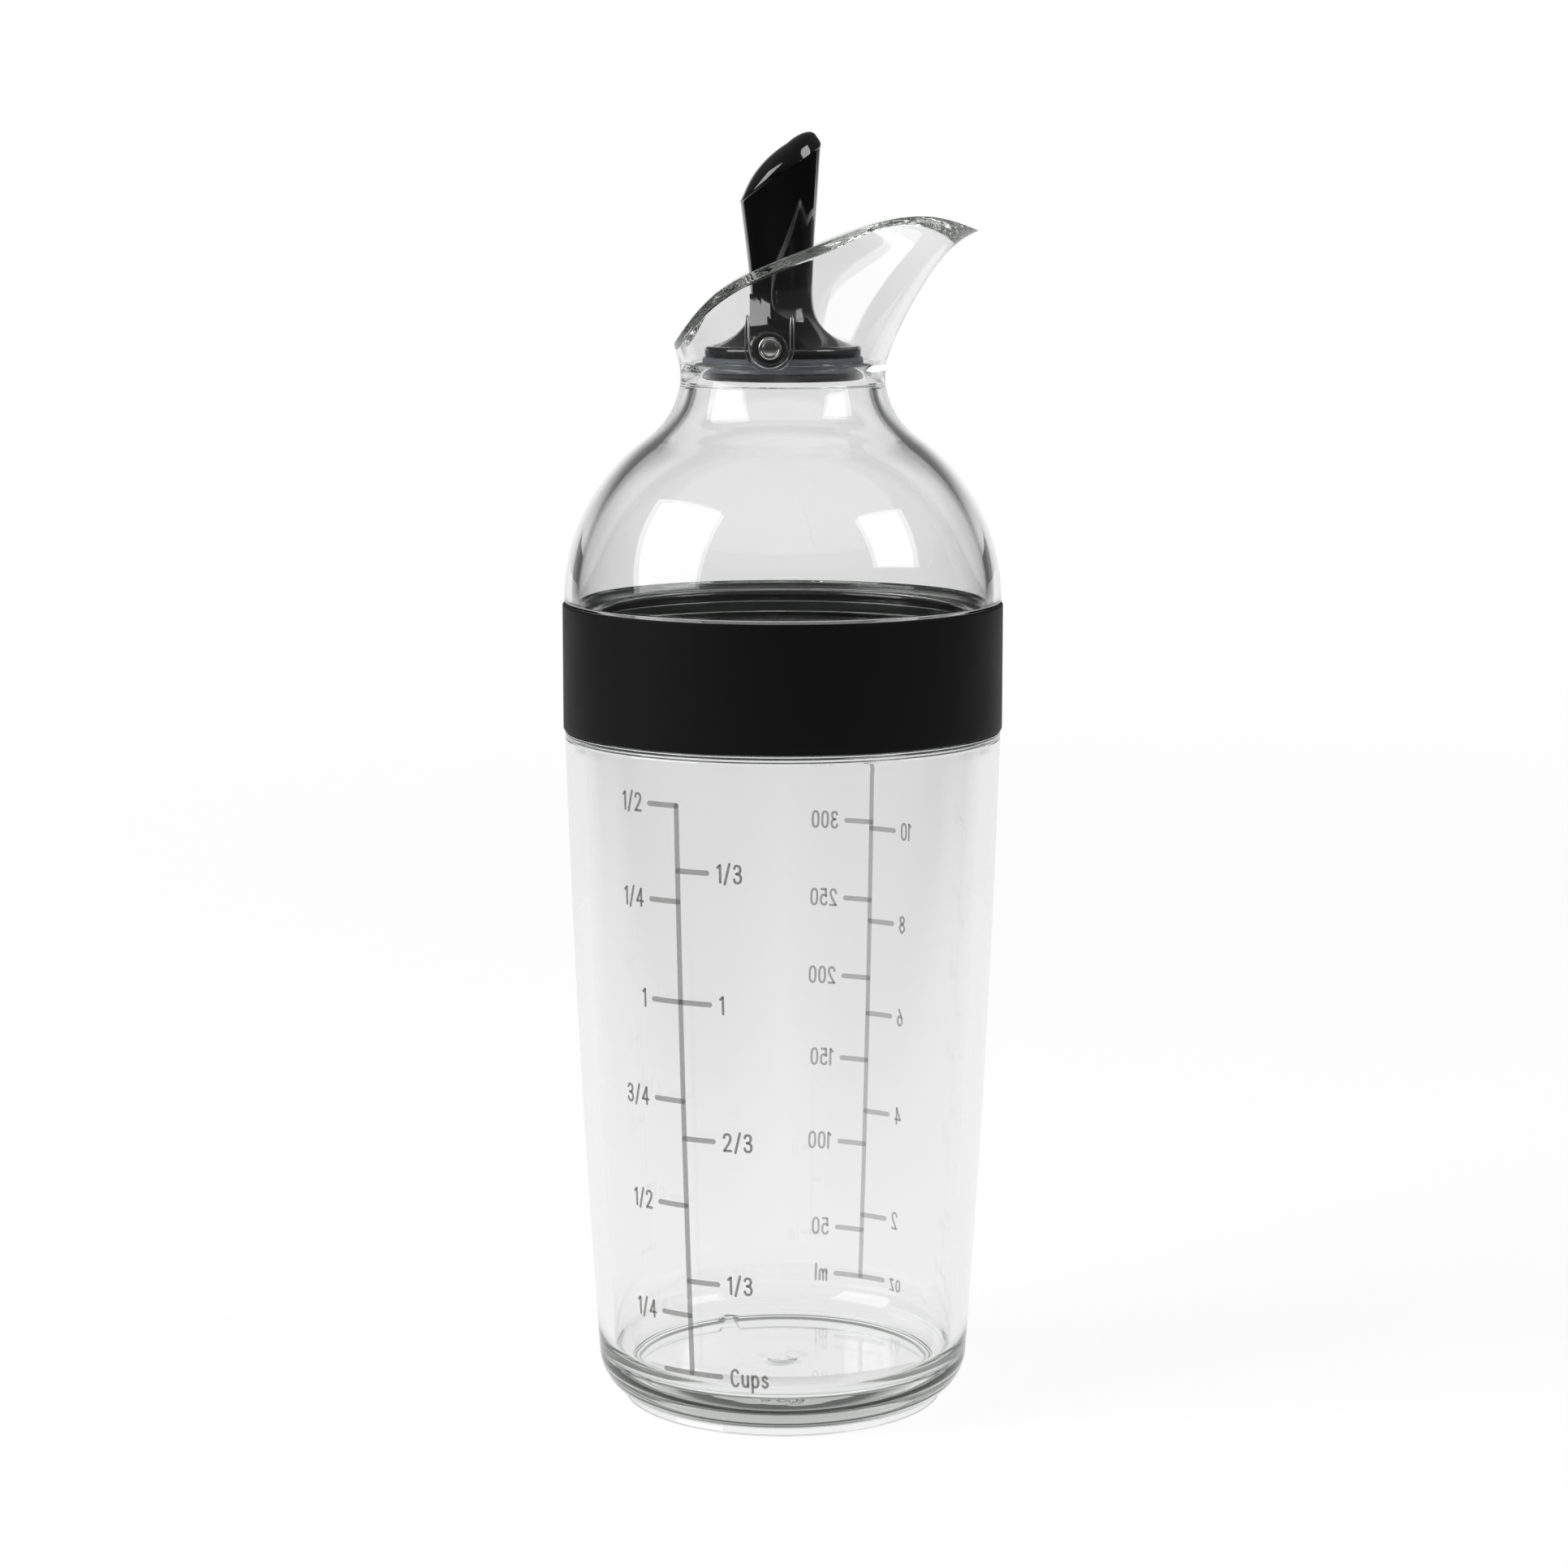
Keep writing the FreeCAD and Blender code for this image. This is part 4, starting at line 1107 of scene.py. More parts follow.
CHANNEL_POINTS = 33         # points of a channel's half circle
BEAD_POINTS = 49            # points of the bead's half circle
FLANK_POINTS = 24           # points of each of the bead's flanks
BEAD_COLUMNS = 16           # columns round the bead
BEAD_FADE = 8               # power with which the bead thins towards its ends
WALL_POINTS = 721           # points along the wall, between which the bead is laid


def channel_block(side, spout, at):
    """U-shaped block along Y: a half circle round the pin and two upright flanks, carried from the
    channel's floor towards the middle plane."""
    half = spout.hub_radius + spout.hub_gap
    angle = np.linspace(math.pi, 2 * math.pi, CHANNEL_POINTS)
    across = np.concatenate((half * np.cos(angle), (half, -half)))
    up = np.concatenate((half * np.sin(angle), (spout.channel_height,) * 2))
    outline = np.column_stack((across - spout.pin_offset, up + at["pin"]))
    ends = np.array((-spout.channel_reach, -spout.channel_reach / 2))
    ends = ends if side < 0 else -ends[::-1]
    scale = np.array((0, 1, 1, 0))[:, None, None]
    middle = outline.mean(0)
    flat = middle + scale * (outline[::-1] - middle)
    along = ends[[0, 0, 1, 1]][:, None] + 0 * flat[..., 0]
    return shell(np.stack((flat[..., 0], along, flat[..., 1]), axis=-1), False)


def channel_bead(side, spout, at):
    """Round bead along a channel's edge: a U of a half circle and two flanks, laid on the spout's
    inside, with rings about it whose radius swells from nothing at both ends."""
    half = spout.hub_radius + spout.hub_gap + spout.bead_radius
    bend = np.linspace(math.pi, 2 * math.pi, BEAD_POINTS)
    flank = np.linspace(spout.bead_height, 0, FLANK_POINTS)[:-1]
    across = np.concatenate((0 * flank - half, half * np.cos(bend), 0 * flank + half))
    across = across - spout.pin_offset
    level = np.concatenate((flank, half * np.sin(bend), flank[::-1])) + at["pin"]
    round_side = side * np.linspace(0, math.pi, WALL_POINTS)
    wall = flare(round_side, level[:, None], spout, at, spout.wall)
    out = [np.interp(-x, -row[:, 0], row[:, 1]) for x, row in zip(across, wall)]
    path = np.column_stack((across, out, level))
    along = unit(np.gradient(path, axis=0))
    first = unit(np.cross(np.cross(along, (0, side, 0)), along))
    angle = full_turn(BEAD_COLUMNS)[:, None]
    thick = np.sqrt(1 - np.linspace(-1, 1, len(path)) ** BEAD_FADE)
    radius = spout.bead_radius * thick[:, None, None]
    round_path = np.cos(angle) * first[:, None] + np.sin(angle) * np.cross(along, first)[:, None]
    return shell(path[:, None] + radius * round_path, False)


WALL_ROWS, WALL_CROWDING = 90, 0.8      # rings of the spout's wall, closer together at the rim
WAIST_ROWS = 10                         # rings between the seam and the ring's top
RIM_ROWS = 17                           # rings over the rim's slanted face
LIP_FADE, BACK_FADE = 1.5, 2            # powers with which the bevel grows to the tip and the back
RIM_FULLNESS = 6                        # power of the rim's bulge
FINE_EDGE = 0.1 * MM                    # bevel on the edges of the seat and the bore


class MakeSpout(bpy.types.Operator):
    """Clear spout: ring with the stopper's seat, and a flared wall up to a slanted rim that is
    bevelled inside, as one loop of rings, with the two beaded pivot channels and the pin's holes"""
    bl_idname = "bottle.make_spout"
    bl_label = "Spout"

    def execute(self, context):
        scene = context.scene
        lid, spout, at = scene.bottle_lid, scene.bottle_spout, levels(scene)
        angle = full_turn(SPOUT_COLUMNS)[None, :]
        seam = at["seam"] + WELD_GAP
        ahead, behind = np.maximum(np.cos(angle), 0), np.maximum(-np.cos(angle), 0)
        bevel = (spout.rim_bevel + (spout.lip_bevel - spout.rim_bevel) * ahead ** LIP_FADE
                 + (spout.back_bevel - spout.rim_bevel) * behind ** BACK_FADE)
        outer = self.under_rim(angle, spout, at, 0, 0)
        inner = self.under_rim(angle, spout, at, spout.wall, bevel)
        climb = np.linspace(0, 1, WALL_ROWS)[:, None] ** WALL_CROWDING
        outside = flare(angle, at["ring"] + climb * (outer - at["ring"]), spout, at, 0)
        inside = at["ring"] + climb[::-1] * (inner - at["ring"])
        inside = flare(angle, inside, spout, at, spout.wall)
        waist = seam + np.linspace(0, 1, WAIST_ROWS)[:, None] * (at["ring"] - seam)
        hollow = lid.neck_fillet - np.sqrt(
            lid.neck_fillet ** 2 - np.minimum(waist - at["neck"], 0) ** 2)
        narrow = np.clip((at["ring"] - waist) / spout.ring_rise, 0, 1)
        narrow = (spout.ring_radius - lid.neck_radius) * narrow
        below = flare(angle, waist + 0 * angle, spout, at, narrow - hollow)[:-1]
        top_outside, top_inside = outside[-1], inside[0]
        up = unit(top_outside - outside[-3] + top_inside - inside[2])
        across = np.cos(np.linspace(0, math.pi, RIM_ROWS))[1:-1, None, None]
        rim = (top_outside + top_inside) / 2 + (top_outside - top_inside) / 2 * across
        rim = rim + up * spout.rim_swell * (1 - across ** RIM_FULLNESS)
        seat = np.array((
            (at["seat_top"] + spout.seat_step / 2, at["ring"] - WELD_GAP),
            (at["seat_top"], at["ring"] - FINE_EDGE),
            (spout.bore_radius, at["seat"]),
            (spout.bore_radius, seam + FINE_EDGE),
            (spout.bore_radius + FINE_EDGE, seam),
            (at["seam_outside"] - FINE_EDGE, seam)))
        seat = carried_round(seat[:, :1], seat[:, 1:], angle)
        rings = np.concatenate((below, outside, rim, inside, seat))
        made = as_object("clear_spout", shell(rings, True))
        for side in (-1, 1):
            combined(made, channel_block(side, spout, at), "DIFFERENCE")
            combined(made, channel_bead(side, spout, at), "UNION")
        far = 2 * spout.channel_reach
        hole = spout.pin_radius + spout.pin_clearance
        combined(made, cross_bar(hole, -far, far, at, spout), "DIFFERENCE")
        for first, last in ((-far, -at["pin_half"]), (at["pin_half"], far)):
            recess = cross_bar(spout.pin_recess_radius, first, last, at, spout)
            combined(made, recess, "DIFFERENCE")
        clear = clear_copolyester(scene.bottle_colours.clear)
        finished(made, clear, "lid", "clear_copolyester", "pour_spout")
        return {"FINISHED"}

    def under_rim(self, angle, spout, at, inset, distance):
        """Level of the wall at a distance under its rim, measured along the wall: the rim's level
        less the distance times the upright part of the wall's slope."""
        level = rim_level(angle, spout, at, inset)
        step = 0.5 * MM
        run = flare(angle, level, spout, at, inset) - flare(angle, level - step, spout, at, inset)
        return level - distance * run[..., 2] / np.linalg.norm(run, axis=-1)


def stem_ring(angle, height, lever, at, margin):
    """Ring of the lever's column at a height over the flange: each half size grows evenly with the
    height, and flares out at the foot by a falling exponential."""
    swell = np.exp(-height / lever.foot_flare_height)
    halves = []
    for low, slope in ((lever.stem_back, lever.back_slope), (lever.stem_front, lever.front_slope),
                       (lever.stem_side, lever.side_slope)):
        halves.append(low + slope * height + (at["lever_foot"] - low) * swell + margin)
    return level_ring(angle, at["flange_top"] + height, *halves)


def seam_ring(angle, lever, at, margin):
    """Height at which the column, widened by margin, meets the slanted seam of the cap."""
    def under(height):
        """Whether the column's ring is still below the seam."""
        ring = stem_ring(angle, height, lever, at, margin)
        return ring[..., 2] < at["cap"] + math.tan(lever.seam_angle) * ring[..., 0]
    return halved(np.zeros_like(angle), np.full_like(angle, 2 * lever.stem_height), under)


COLUMN_ROWS, FOOT_CROWDING = 70, 1.8    # rings of the column, closer together at its foot
SEAM_GROOVE = 0.04 * MM                 # fine groove between the column and the cap
TONGUE = 0.3 * MM                       # tongue of the column that reaches up into the cap
# Rings that close the column's slanted end: shares of its outline, and of the tongue's height
END_SIZES, END_RISES = (0.995, 0.86, 0.85, 0.4, 0), (0, 0, 1, 1, 1)
# Rings that close the cap's underside, hollow over the tongue
UNDER_SIZES, UNDER_RISES = (0, 0.5, 0.9, 0.91, 0.97), (1.2, 1.2, 1.2, 0, 0)
CAP_OVAL = 4                            # power of the oval that the cap's section follows
CAP_SPLIT = 0.7                         # level of that oval where its side turns into its top
SIDE_ROWS, TOP_ROWS = 24, 40            # rings of the cap's side and of its top
CAP_LEAST = 0.5 * MM                    # least height of the cap's top over its seam


def flange_rings(angle, lever, at):
    """Rings of the lever's plug and round flange, turned about the axis, up to the flared foot."""
    corner = lever.flange_radius - lever.flange_round
    shoulder = at["flange_top"] - lever.flange_round
    plug = lever.seal_mouth - WELD_GAP
    low = at["flange"] + WELD_GAP
    soft_edge = 0.2 * MM
    profile = softened((
        (0, at["seal"]), (plug, at["seal"]), (plug, low), (lever.flange_radius, low),
        arc((corner, shoulder), (lever.flange_radius, shoulder), (corner, at["flange_top"])),
        (0, at["flange_top"])), soft_edge, False)
    under_top, off_foot = 0.01 * MM, 0.05 * MM
    below = profile[:, 1] < at["flange_top"] - under_top
    beside = profile[:, 0] > at["lever_foot"] + off_foot
    profile = profile[below | beside]
    return carried_round(profile[:, :1], profile[:, 1:], angle)


def column_rings(angle, lever, at):
    """Rings of the column from its flared foot up to the seam, and of the tongue on its end."""
    climb = np.linspace(0, 1, COLUMN_ROWS)[:, None] ** FOOT_CROWDING
    top = seam_ring(angle, lever, at, 0) - SEAM_GROOVE
    column = stem_ring(angle, climb * top, lever, at, 0)
    edge = column[-1:]
    middle = edge.mean(1, keepdims=True)
    end = middle + (edge - middle) * np.array(END_SIZES)[:, None, None]
    end = end + TONGUE * np.array(END_RISES)[:, None, None] * np.array((0, 0, 1))
    return np.concatenate((column, end))


def cap_rings(angle, lever, at):
    """Rings of the cap over its seam's outline: a section shaped as a high-power oval, which dips
    under its widest level in front, filled up to a crown that is bowed along the seam and round
    across it, then tilted by the seam's slant."""
    slant, margin = lever.seam_angle, lever.cap_overhang
    ring = stem_ring(angle, seam_ring(angle, lever, at, margin), lever, at, margin)[0]
    ring = ring - np.array((0, 0, at["cap"]))
    along = ring[:, 0] * math.cos(slant) + ring[:, 2] * math.sin(slant)
    crest = (lever.cap_crest_reach, lever.cap_crest)
    crown_line = np.vstack((
        bowed((-lever.cap_back, 0), crest, lever.cap_back_bow),
        bowed(crest, (lever.cap_front, lever.cap_front_height), lever.cap_front_bow)))
    middle = (along.max() + along.min()) / 2
    dip = lever.cap_dip * np.clip((along - middle) / (along.max() - middle), 0, 1) ** 2
    lower = (CAP_SPLIT + dip) * np.linspace(0, 1, SIDE_ROWS)[:, None] - dip
    wide = (1 - lower ** CAP_OVAL) ** (1 / CAP_OVAL)
    upper = wide[-1] * np.linspace(1, 0, TOP_ROWS + 1)[1:, None]
    fill = (np.vstack((lower, (1 - upper ** CAP_OVAL) ** (1 / CAP_OVAL))) + dip) / (1 + dip)
    wide = np.vstack((wide, upper)) / wide[0]
    reach = middle + (along - middle) * wide
    across = ring[:, 1] * wide
    height = np.interp(reach, crown_line[:, 0], crown_line[:, 1]) + lever.cap_crown
    crown = np.sqrt(np.maximum(height ** 2 - across ** 2, 0)) - lever.cap_crown
    rise = np.maximum(crown, CAP_LEAST) * fill
    under = np.array(UNDER_SIZES)[:, None]
    hollow = np.array(UNDER_RISES)[:, None] * TONGUE
    reach = np.vstack((middle + (along - middle) * under, reach))
    across = np.vstack((ring[:, 1] * under, across))
    rise = np.vstack((hollow + 0 * along, rise)) + WELD_GAP
    return np.stack((
        reach * math.cos(slant) - rise * math.sin(slant), across,
        reach * math.sin(slant) + rise * math.cos(slant) + at["cap"]), axis=-1)


class MakeLever(bpy.types.Operator):
    """Black lever and thumb cap: a column on a flared foot and round flange with a pivot barrel,
    and a crowned cap over a slanted seam"""
    bl_idname = "bottle.make_lever"
    bl_label = "Lever and cap"

    def execute(self, context):
        scene = context.scene
        spout, lever, at = scene.bottle_spout, scene.bottle_lever, levels(scene)
        black = gloss_plastic(scene.bottle_colours.lever)
        angle = full_turn(SPOUT_COLUMNS)[None, :]
        rings = np.concatenate((flange_rings(angle, lever, at), column_rings(angle, lever, at)))
        made = as_object("lever_column", shell(rings, False))
        reach = spout.channel_reach - spout.hub_gap
        soft_edge = 0.4 * MM
        barrel = cross_bar(spout.hub_radius, -reach, reach, at, spout, soft_edge)
        combined(made, barrel, "UNION")
        finished(made, black, "tip_lever", "black_gloss_plastic", "lever")
        made = as_object("thumb_cap", shell(cap_rings(angle, lever, at), False))
        finished(made, black, "tip_lever", "black_gloss_plastic", "lever_cap")
        return {"FINISHED"}


class MakeStopper(bpy.types.Operator):
    """Stopper under the lever: a silicone ring with a slanted edge and the plate that holds it,
    both turned about the axis"""
    bl_idname = "bottle.make_stopper"
    bl_label = "Stopper"

    def execute(self, context):
        scene = context.scene
        spout, lever, at = scene.bottle_spout, scene.bottle_lever, levels(scene)
        low = spout.bore_radius - lever.seal_clearance
        high = at["seat_top"] - lever.seal_clearance
        lip = lever.flange_radius + lever.seal_lip / 4
        points = (
            (lever.seal_mouth, at["seal"]),
            (low, at["seal"]),
            (high - lever.seal_clearance, at["ring"] - 2 * lever.seal_clearance),
            (lip + lever.seal_lip / 2, at["ring"] - lever.seal_clearance),
            (lip + lever.seal_lip / 2, at["flange"] - lever.seal_lip),
            (lip, at["flange"]),
            (lever.seal_mouth, at["flange"]))
        soft_edge = 0.5 * MM
        made = as_object("stopper_ring", turned(softened(points, soft_edge, True), True))
        grey = moulded_silicone(scene.bottle_colours.silicone)
        finished(made, grey, "tip_lever", "grey_silicone", "stopper_seal")
        plate, low = at["seal"] - WELD_GAP, at["seal"] - lever.retainer_thickness
        points = (
            (0, low), (lever.retainer_radius, low), (lever.retainer_radius, plate), (0, plate))
        made = as_object("ring_retainer", turned(softened(points, soft_edge, False), False))
        black = gloss_plastic(scene.bottle_colours.lever)
        finished(made, black, "tip_lever", "black_gloss_plastic", "seal_retainer")
        return {"FINISHED"}


HEAD_ROWS = 90              # rings of each pin head
HEAD_LIFT = 0.08 * MM       # bottom of a head's groove over the recess in the spout's wall
GROOVE_SIZE = 1.08          # outer edge of that groove, as a share of the dome's radius


class MakePin(bpy.types.Operator):
    """Steel hinge pin turned about its own line, with a head at each end that has a raised rim and
    a domed middle: both rise as half ellipses over the groove between them"""
    bl_idname = "bottle.make_pin"
    bl_label = "Hinge pin"

    def execute(self, context):
        scene = context.scene
        spout, at = scene.bottle_spout, levels(scene)
        radii = np.linspace(0, spout.head_radius, HEAD_ROWS)
        dome = spout.head_radius * spout.dome_share
        ring_half = (spout.head_radius - GROOVE_SIZE * dome) / 2
        off_ring = (radii - spout.head_radius + ring_half) / ring_half
        rise = np.maximum(1 - (radii / dome) ** 2, 1 - off_ring ** 2)
        face = at["pin_half"] + HEAD_LIFT + spout.head_groove * np.sqrt(np.maximum(rise, 0))
        neck = at["pin_half"] + WELD_GAP
        radii = np.concatenate((radii, (spout.head_radius, spout.pin_radius)))
        face = np.concatenate((face, (neck, neck)))
        radii, face = np.concatenate((radii, radii[::-1])), np.concatenate((-face, face[::-1]))
        made = as_object("steel_pin", about_hinge(radii, face, at, spout))
        middle = (-spout.pin_offset, 0, at["pin"])
        steel = turned_steel(scene.bottle_colours.steel, middle)
        finished(made, steel, "tip_lever", "stainless_steel", "hinge_pin")
        return {"FINISHED"}


# Studio, in metres. A lamp has a place, a size and a roll in degrees
FLOOR_HALF = 6.0
CARD_RADIUS, CARD_HEIGHT = 0.5, 0.45
SOFTBOXES = {
    "softbox_left": ((-0.82, -0.31, 0.62), (0.72, 0.80), 13),
    "softbox_right": ((0.80, -0.31, 0.68), (0.46, 0.50), -13)}
RADIANCE = 3.2
PALE = 0.90                 # floor and foot of the card as clear plastic shows them
BOUNCES = 40                # light is led round inside the clear walls, which turn black with fewer
# Turns other than through plastic that a straight ray stays under: the surround counts one more
PIECE_TURNS, SURROUND_TURNS = 0.5, 1.5
# Camera of the photograph
CAMERA_PLACE, CAMERA_TILT = (0, -0.6413, 0.20335), math.radians(81.536)
CAMERA_LENS, CAMERA_SENSOR, CAMERA_SHIFT, CAMERA_NEAR = 86.12, 36, 0.0008, 0.01


def softbox(name, place, aim, size, roll):
    """Rectangular lamp of even radiance, rolled about its aim: its power is the radiance times pi
    times its area."""
    lamp = bpy.data.lights.new(name, "AREA")
    lamp.shape = "RECTANGLE"
    lamp.size, lamp.size_y = size
    lamp.energy = RADIANCE * math.pi * size[0] * size[1]
    made = bpy.data.objects.new(name, lamp)
    made.location = place
    turn = (aim - made.location).to_track_quat("-Z", "Y").to_matrix()
    turn = turn @ Matrix.Rotation(math.radians(roll), 3, "Z")
    made.rotation_euler = turn.to_euler()
    made.visible_camera = False
    bpy.context.scene.collection.objects.link(made)


def straight_rays(tree, ray, turns):
    """One for rays that have met clear plastic at most, and zero for the others: the count of all
    turns, less the passages through a surface, stays under the number turns."""
    other = add_node(tree, "ShaderNodeMath", {
        0: ray.outputs["Ray Depth"], 1: ray.outputs["Transmission Depth"]}, operation="SUBTRACT")
    few = add_node(tree, "ShaderNodeMath", {
        0: other.outputs["Value"], 1: turns}, operation="LESS_THAN")
    seen = add_node(tree, "ShaderNodeMath", {
        0: ray.outputs["Is Camera Ray"], 1: ray.outputs["Is Transmission Ray"]},
        operation="MAXIMUM")
    both = add_node(tree, "ShaderNodeMath", {
        0: few.outputs["Value"], 1: seen.outputs["Value"]}, operation="MULTIPLY")
    return both.outputs["Value"]


@made_once("paint_white_matt")
def matt_paint(tree, place, base):
    """Matt painted floor. It gives the eye a white that takes the bottle's shadow, by a glow that
    makes up for what the lamps leave short. Reflections see that glow behind the bottle only, and
    straight rays through clear plastic see an even pale floor."""
    ray = add_node(tree, "ShaderNodeLightPath", {})
    straight = straight_rays(tree, ray, PIECE_TURNS)
    away = add_node(tree, "ShaderNodeVectorMath", {0: place}, operation="LENGTH")
    lack = add_node(tree, "ShaderNodeMapRange", {
        "Value": away.outputs["Value"], "From Min": 0.2, "From Max": 1.6,
        "To Min": 0.905, "To Max": 0.985}, interpolation_type="SMOOTHSTEP")
    axes = add_node(tree, "ShaderNodeSeparateXYZ", {"Vector": place})
    aside = add_node(tree, "ShaderNodeMath", {0: axes.outputs["X"]}, operation="ABSOLUTE")
    behind = add_node(tree, "ShaderNodeMath", {
        0: aside.outputs["Value"], 1: -1.2, 2: axes.outputs["Y"]}, operation="MULTIPLY_ADD")
    sweep = add_node(tree, "ShaderNodeMapRange", {
        "Value": behind.outputs["Value"], "From Min": -0.8, "From Max": -0.1,
        "To Min": 0.0, "To Max": 0.85}, interpolation_type="SMOOTHSTEP")
    glow = add_node(tree, "ShaderNodeMix", {
        0: straight, 2: sweep.outputs["Result"], 3: lack.outputs["Result"]}, data_type="FLOAT")
    skin = add_node(tree, "ShaderNodeBsdfPrincipled", {
        "Base Color": (*(0.25 * np.array(base)), 1), "Roughness": 0.9, "Specular IOR Level": 0.0,
        "Emission Color": (1, 1, 1, 1), "Emission Strength": glow.outputs[0]})
    passed = add_node(tree, "ShaderNodeMath", {
        0: straight, 1: ray.outputs["Is Transmission Ray"]}, operation="MULTIPLY")
    pale = add_node(tree, "ShaderNodeEmission", {"Strength": PALE})
    both = add_node(tree, "ShaderNodeMixShader", {
        0: passed.outputs["Value"], 1: skin.outputs["BSDF"], 2: pale.outputs["Emission"]})
    return {"Surface": both.outputs["Shader"]}


@made_once("paper_card_white")
def paper_card(tree, place):
    """Paper card round the bottle that only clear plastic shows. It gives the eye a wall that is
    white low down, and dark from the height of the lid on, which draws the dark lines along the
    dome's and the spout's edges. Light that was caught in the plastic sees its lower part behind
    the bottle."""
    ray = add_node(tree, "ShaderNodeLightPath", {})
    straight = straight_rays(tree, ray, PIECE_TURNS)
    axes = add_node(tree, "ShaderNodeSeparateXYZ", {"Vector": place})
    foot = add_node(tree, "ShaderNodeMapRange", {
        "Value": axes.outputs["Z"], "From Min": 0.0, "From Max": 0.10,
        "To Min": PALE, "To Max": 0.87})
    side = add_node(tree, "ShaderNodeMapRange", {
        "Value": axes.outputs["Y"], "From Min": 0.41, "From Max": 0.47,
        "To Min": 0.14, "To Max": 0.0}, interpolation_type="SMOOTHSTEP")
    reached = add_node(tree, "ShaderNodeMath", {
        0: axes.outputs["Z"], 1: side.outputs["Result"]}, operation="ADD")
    fade = add_node(tree, "ShaderNodeMapRange", {
        "Value": reached.outputs["Value"], "From Min": 0.185, "From Max": 0.265,
        "To Min": 1.0, "To Max": 0.13}, interpolation_type="SMOOTHSTEP")
    level = add_node(tree, "ShaderNodeMath", {
        0: foot.outputs["Result"], 1: fade.outputs["Result"]}, operation="MULTIPLY")
    low = add_node(tree, "ShaderNodeMath", {
        0: axes.outputs["Z"], 1: 0.18}, operation="LESS_THAN")
    behind = add_node(tree, "ShaderNodeMapRange", {
        "Value": axes.outputs["Y"], "From Min": 0.25, "From Max": 0.40,
        "To Min": 0.0, "To Max": 1.0})
    caught = add_node(tree, "ShaderNodeMath", {
        0: low.outputs["Value"], 1: behind.outputs["Result"]}, operation="MULTIPLY")
    shown = add_node(tree, "ShaderNodeMath", {
        0: straight, 1: caught.outputs["Value"]}, operation="MAXIMUM")
    glow = add_node(tree, "ShaderNodeEmission", {"Strength": level.outputs["Value"]})
    clear = add_node(tree, "ShaderNodeBsdfTransparent", {})
    skin = add_node(tree, "ShaderNodeMixShader", {
        0: shown.outputs["Value"], 1: clear.outputs["BSDF"], 2: glow.outputs["Emission"]})
    return {"Surface": skin.outputs["Shader"]}


def surround(scene):
    """White for the camera. Straight rays through clear plastic see a wall that is white low down
    and dark higher up, reflections see a dark room, and light that was caught in the plastic sees
    dark sides and a grey ceiling, the last two with that wall behind the bottle."""
    world = bpy.data.worlds.new("studio_surround")
    world.use_nodes = True
    scene.world = world
    tree = world.node_tree
    tree.nodes.clear()
    ray = add_node(tree, "ShaderNodeLightPath", {})
    straight = straight_rays(tree, ray, SURROUND_TURNS)
    place = add_node(tree, "ShaderNodeTexCoord", {})
    axes = add_node(tree, "ShaderNodeSeparateXYZ", {"Vector": place.outputs["Generated"]})
    ramps = []
    for start, end, low, high in (
            (0.05, 0.30, 0.93, 0.15), (0.0, 0.6, 0.05, 0.09), (0.25, 0.5, 0.10, 0.65)):
        ramp = add_node(tree, "ShaderNodeMapRange", {
            "Value": axes.outputs["Z"], "From Min": start, "From Max": end,
            "To Min": low, "To Max": high}, interpolation_type="SMOOTHSTEP")
        ramps.append(ramp.outputs["Result"])
    wall, room, trapped = ramps
    sides = add_node(tree, "ShaderNodeMix", {
        0: ray.outputs["Is Transmission Ray"], 2: room, 3: trapped}, data_type="FLOAT")
    lean = add_node(tree, "ShaderNodeMath", {
        0: ray.outputs["Is Transmission Ray"], 1: 0.1, 2: axes.outputs["Y"]},
        operation="MULTIPLY_ADD")
    behind = add_node(tree, "ShaderNodeMapRange", {
        "Value": lean.outputs["Value"], "From Min": 0.84, "From Max": 0.97,
        "To Min": 0.0, "To Max": 1.0}, interpolation_type="SMOOTHSTEP")
    backed = add_node(tree, "ShaderNodeMix", {
        0: behind.outputs["Result"], 2: sides.outputs[0], 3: wall}, data_type="FLOAT")
    through = add_node(tree, "ShaderNodeMix", {
        0: straight, 2: backed.outputs[0], 3: wall}, data_type="FLOAT")
    level = add_node(tree, "ShaderNodeMath", {
        0: through.outputs[0], 1: ray.outputs["Is Camera Ray"]}, operation="MAXIMUM")
    glow = add_node(tree, "ShaderNodeBackground", {
        "Color": (1, 1, 1, 1), "Strength": level.outputs["Value"]})
    add_node(tree, "ShaderNodeOutputWorld", {"Surface": glow.outputs["Background"]})


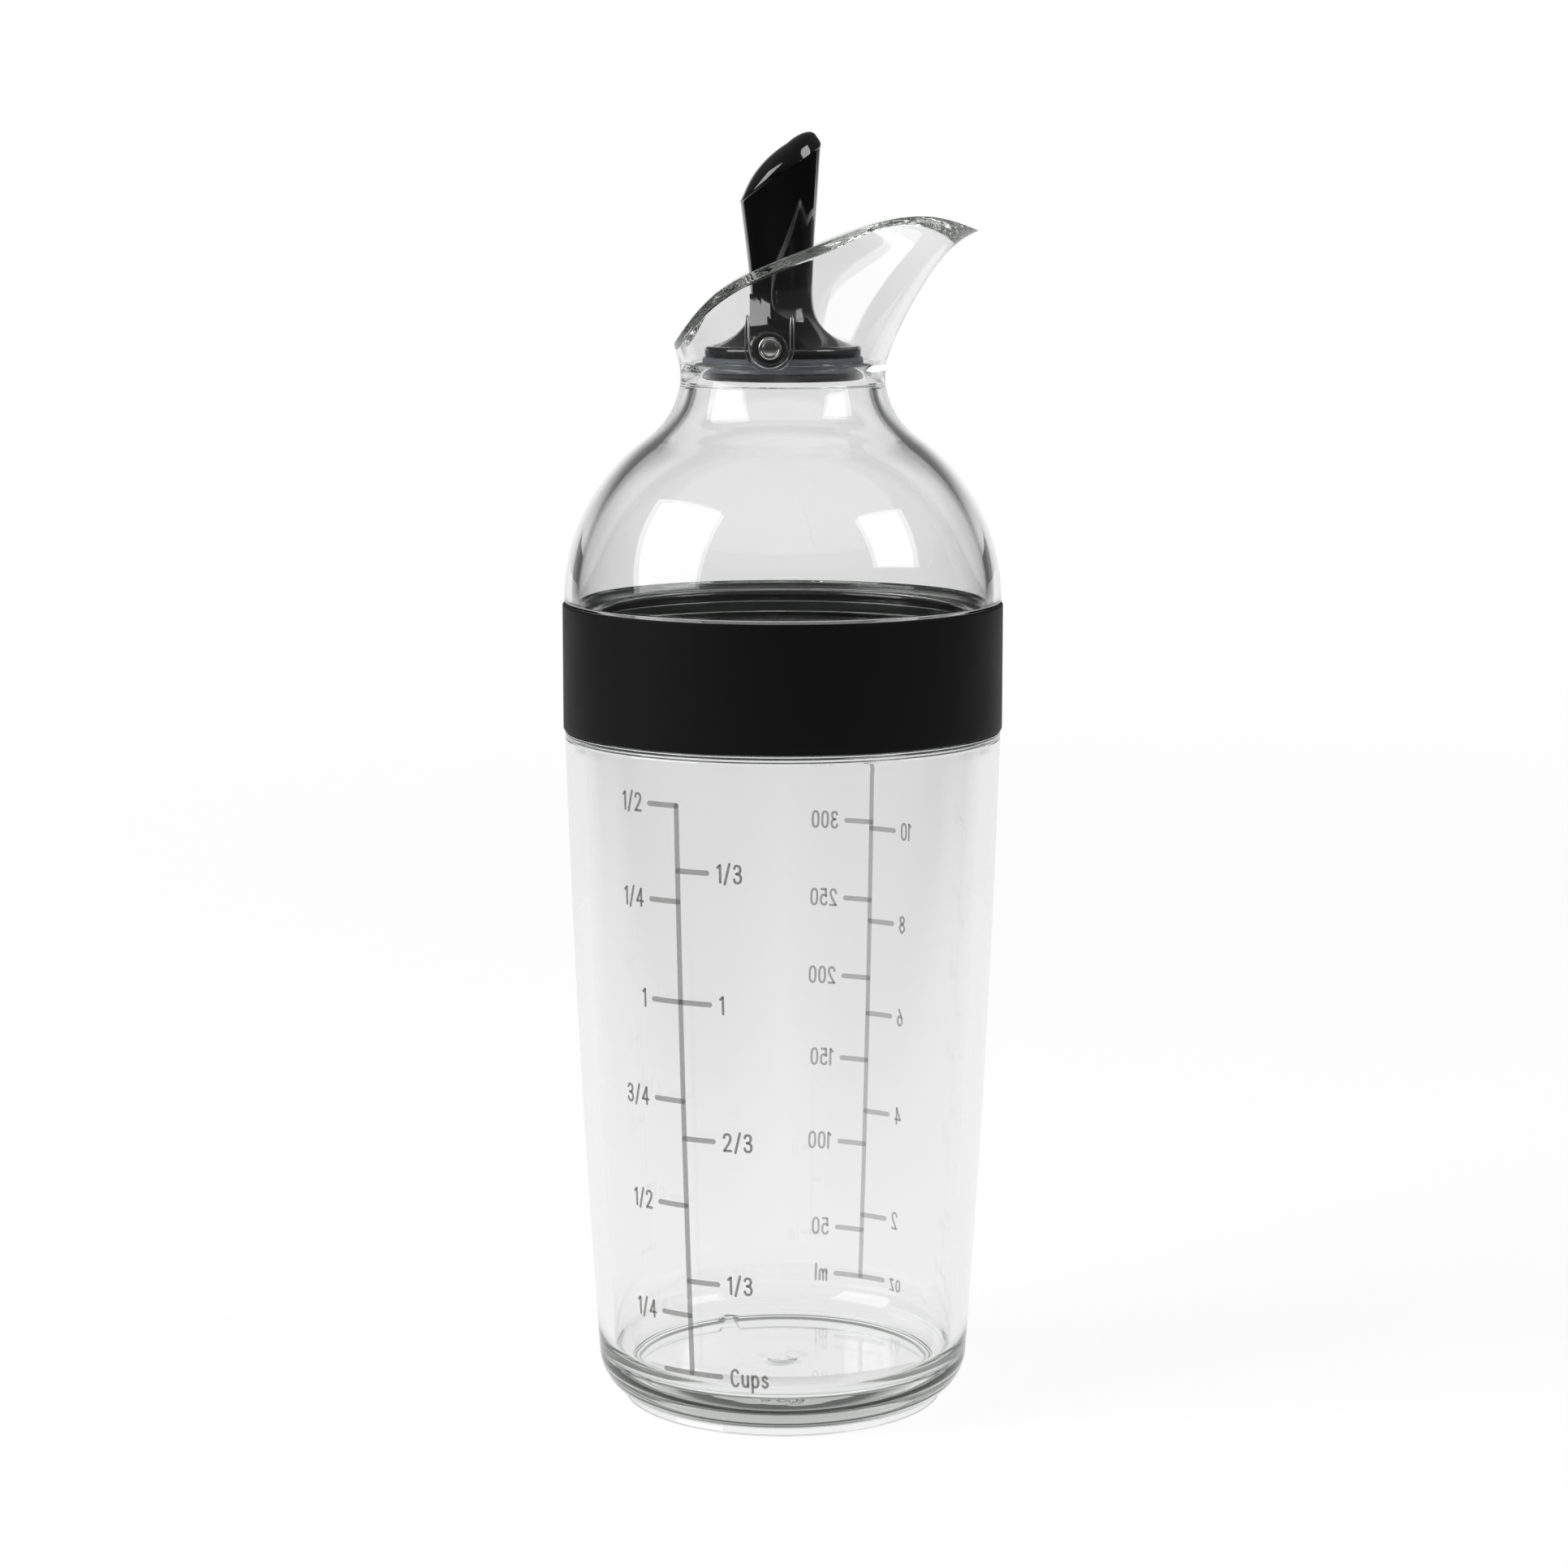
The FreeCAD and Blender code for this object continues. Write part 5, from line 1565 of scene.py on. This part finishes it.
class MakeStage(bpy.types.Operator):
    """Pale studio: a floor, a ring of card, a white background, two softboxes and the camera"""
    bl_idname = "bottle.make_stage"
    bl_label = "Studio"

    def execute(self, context):
        scene = context.scene
        scene.view_settings.view_transform = "Standard"
        scene.cycles.max_bounces = BOUNCES
        scene.cycles.transmission_bounces = BOUNCES
        scene.cycles.glossy_bounces = BOUNCES
        corners = FLOOR_HALF * np.array(((-1, -1, 0), (1, -1, 0), (1, 1, 0), (-1, 1, 0)))
        sheet = (corners, np.array(((0, 1, 2, 3),)), np.empty((0, 3), int))
        floor = as_object("studio_floor", sheet)
        floor.data.materials.append(matt_paint(scene.bottle_colours.floor))
        outside = CARD_RADIUS + MM
        band = np.array((
            (CARD_RADIUS, 0), (outside, 0), (outside, CARD_HEIGHT), (CARD_RADIUS, CARD_HEIGHT)))
        card = as_object("studio_card", turned(band, True))
        card.data.materials.append(paper_card())
        card.visible_camera = card.visible_diffuse = False
        card.visible_glossy = card.visible_shadow = False
        surround(scene)
        aim = (CAD_BOX[0] + CAD_BOX[1]) / 2
        for name, (place, size, roll) in SOFTBOXES.items():
            softbox(name, place, aim, size, roll)
        camera = bpy.data.cameras.new("photo_camera")
        camera.lens, camera.sensor_width = CAMERA_LENS, CAMERA_SENSOR
        camera.shift_x, camera.clip_start = CAMERA_SHIFT, CAMERA_NEAR
        made = bpy.data.objects.new("photo_camera", camera)
        made.location = CAMERA_PLACE
        made.rotation_euler = (CAMERA_TILT, 0, 0)
        scene.collection.objects.link(made)
        scene.camera = made
        return {"FINISHED"}


OPERATORS = (
    MakeCup, MakeScale, MakeGasket, MakeDome, MakeBand, MakeSpout, MakeLever, MakeStopper,
    MakePin, MakeStage)


class BottlePanel(bpy.types.Panel):
    """Sidebar list of the bottle's pieces"""
    bl_idname = "VIEW3D_PT_shaker_bottle"
    bl_label = "Shaker Bottle"
    bl_space_type = "VIEW_3D"
    bl_region_type = "UI"
    bl_category = "Shaker Bottle"

    def draw(self, context):
        for operator in OPERATORS:
            self.layout.operator(operator.bl_idname)


GROUPS = {
    "bottle_cup": CupSizes, "bottle_lid": LidSizes, "bottle_spout": SpoutSizes,
    "bottle_lever": LeverSizes, "bottle_scale": ScaleSizes, "bottle_colours": BottleColours}


def register():
    """Makes the sizes, the operators and the panel known."""
    for group in GROUPS.values():
        bpy.utils.register_class(group)
    for operator in OPERATORS + (BottlePanel,):
        bpy.utils.register_class(operator)
    for name, group in GROUPS.items():
        setattr(bpy.types.Scene, name, bpy.props.PointerProperty(type=group))


def unregister():
    """Takes them away again, in the other order."""
    for name in GROUPS:
        delattr(bpy.types.Scene, name)
    for operator in reversed(OPERATORS + (BottlePanel,)):
        bpy.utils.unregister_class(operator)
    for group in reversed(GROUPS.values()):
        bpy.utils.unregister_class(group)


def main():
    """Makes the sizes, the operators and the panel known, and builds the pieces in order; the solid
    model's box is noted when the script loads.
    """
    register()
    bpy.ops.bottle.make_cup()
    bpy.ops.bottle.make_scale()
    bpy.ops.bottle.make_gasket()
    bpy.ops.bottle.make_dome()
    bpy.ops.bottle.make_band()
    bpy.ops.bottle.make_spout()
    bpy.ops.bottle.make_lever()
    bpy.ops.bottle.make_stopper()
    bpy.ops.bottle.make_pin()
    bpy.ops.bottle.make_stage()


if __name__ == "__main__":
    main()
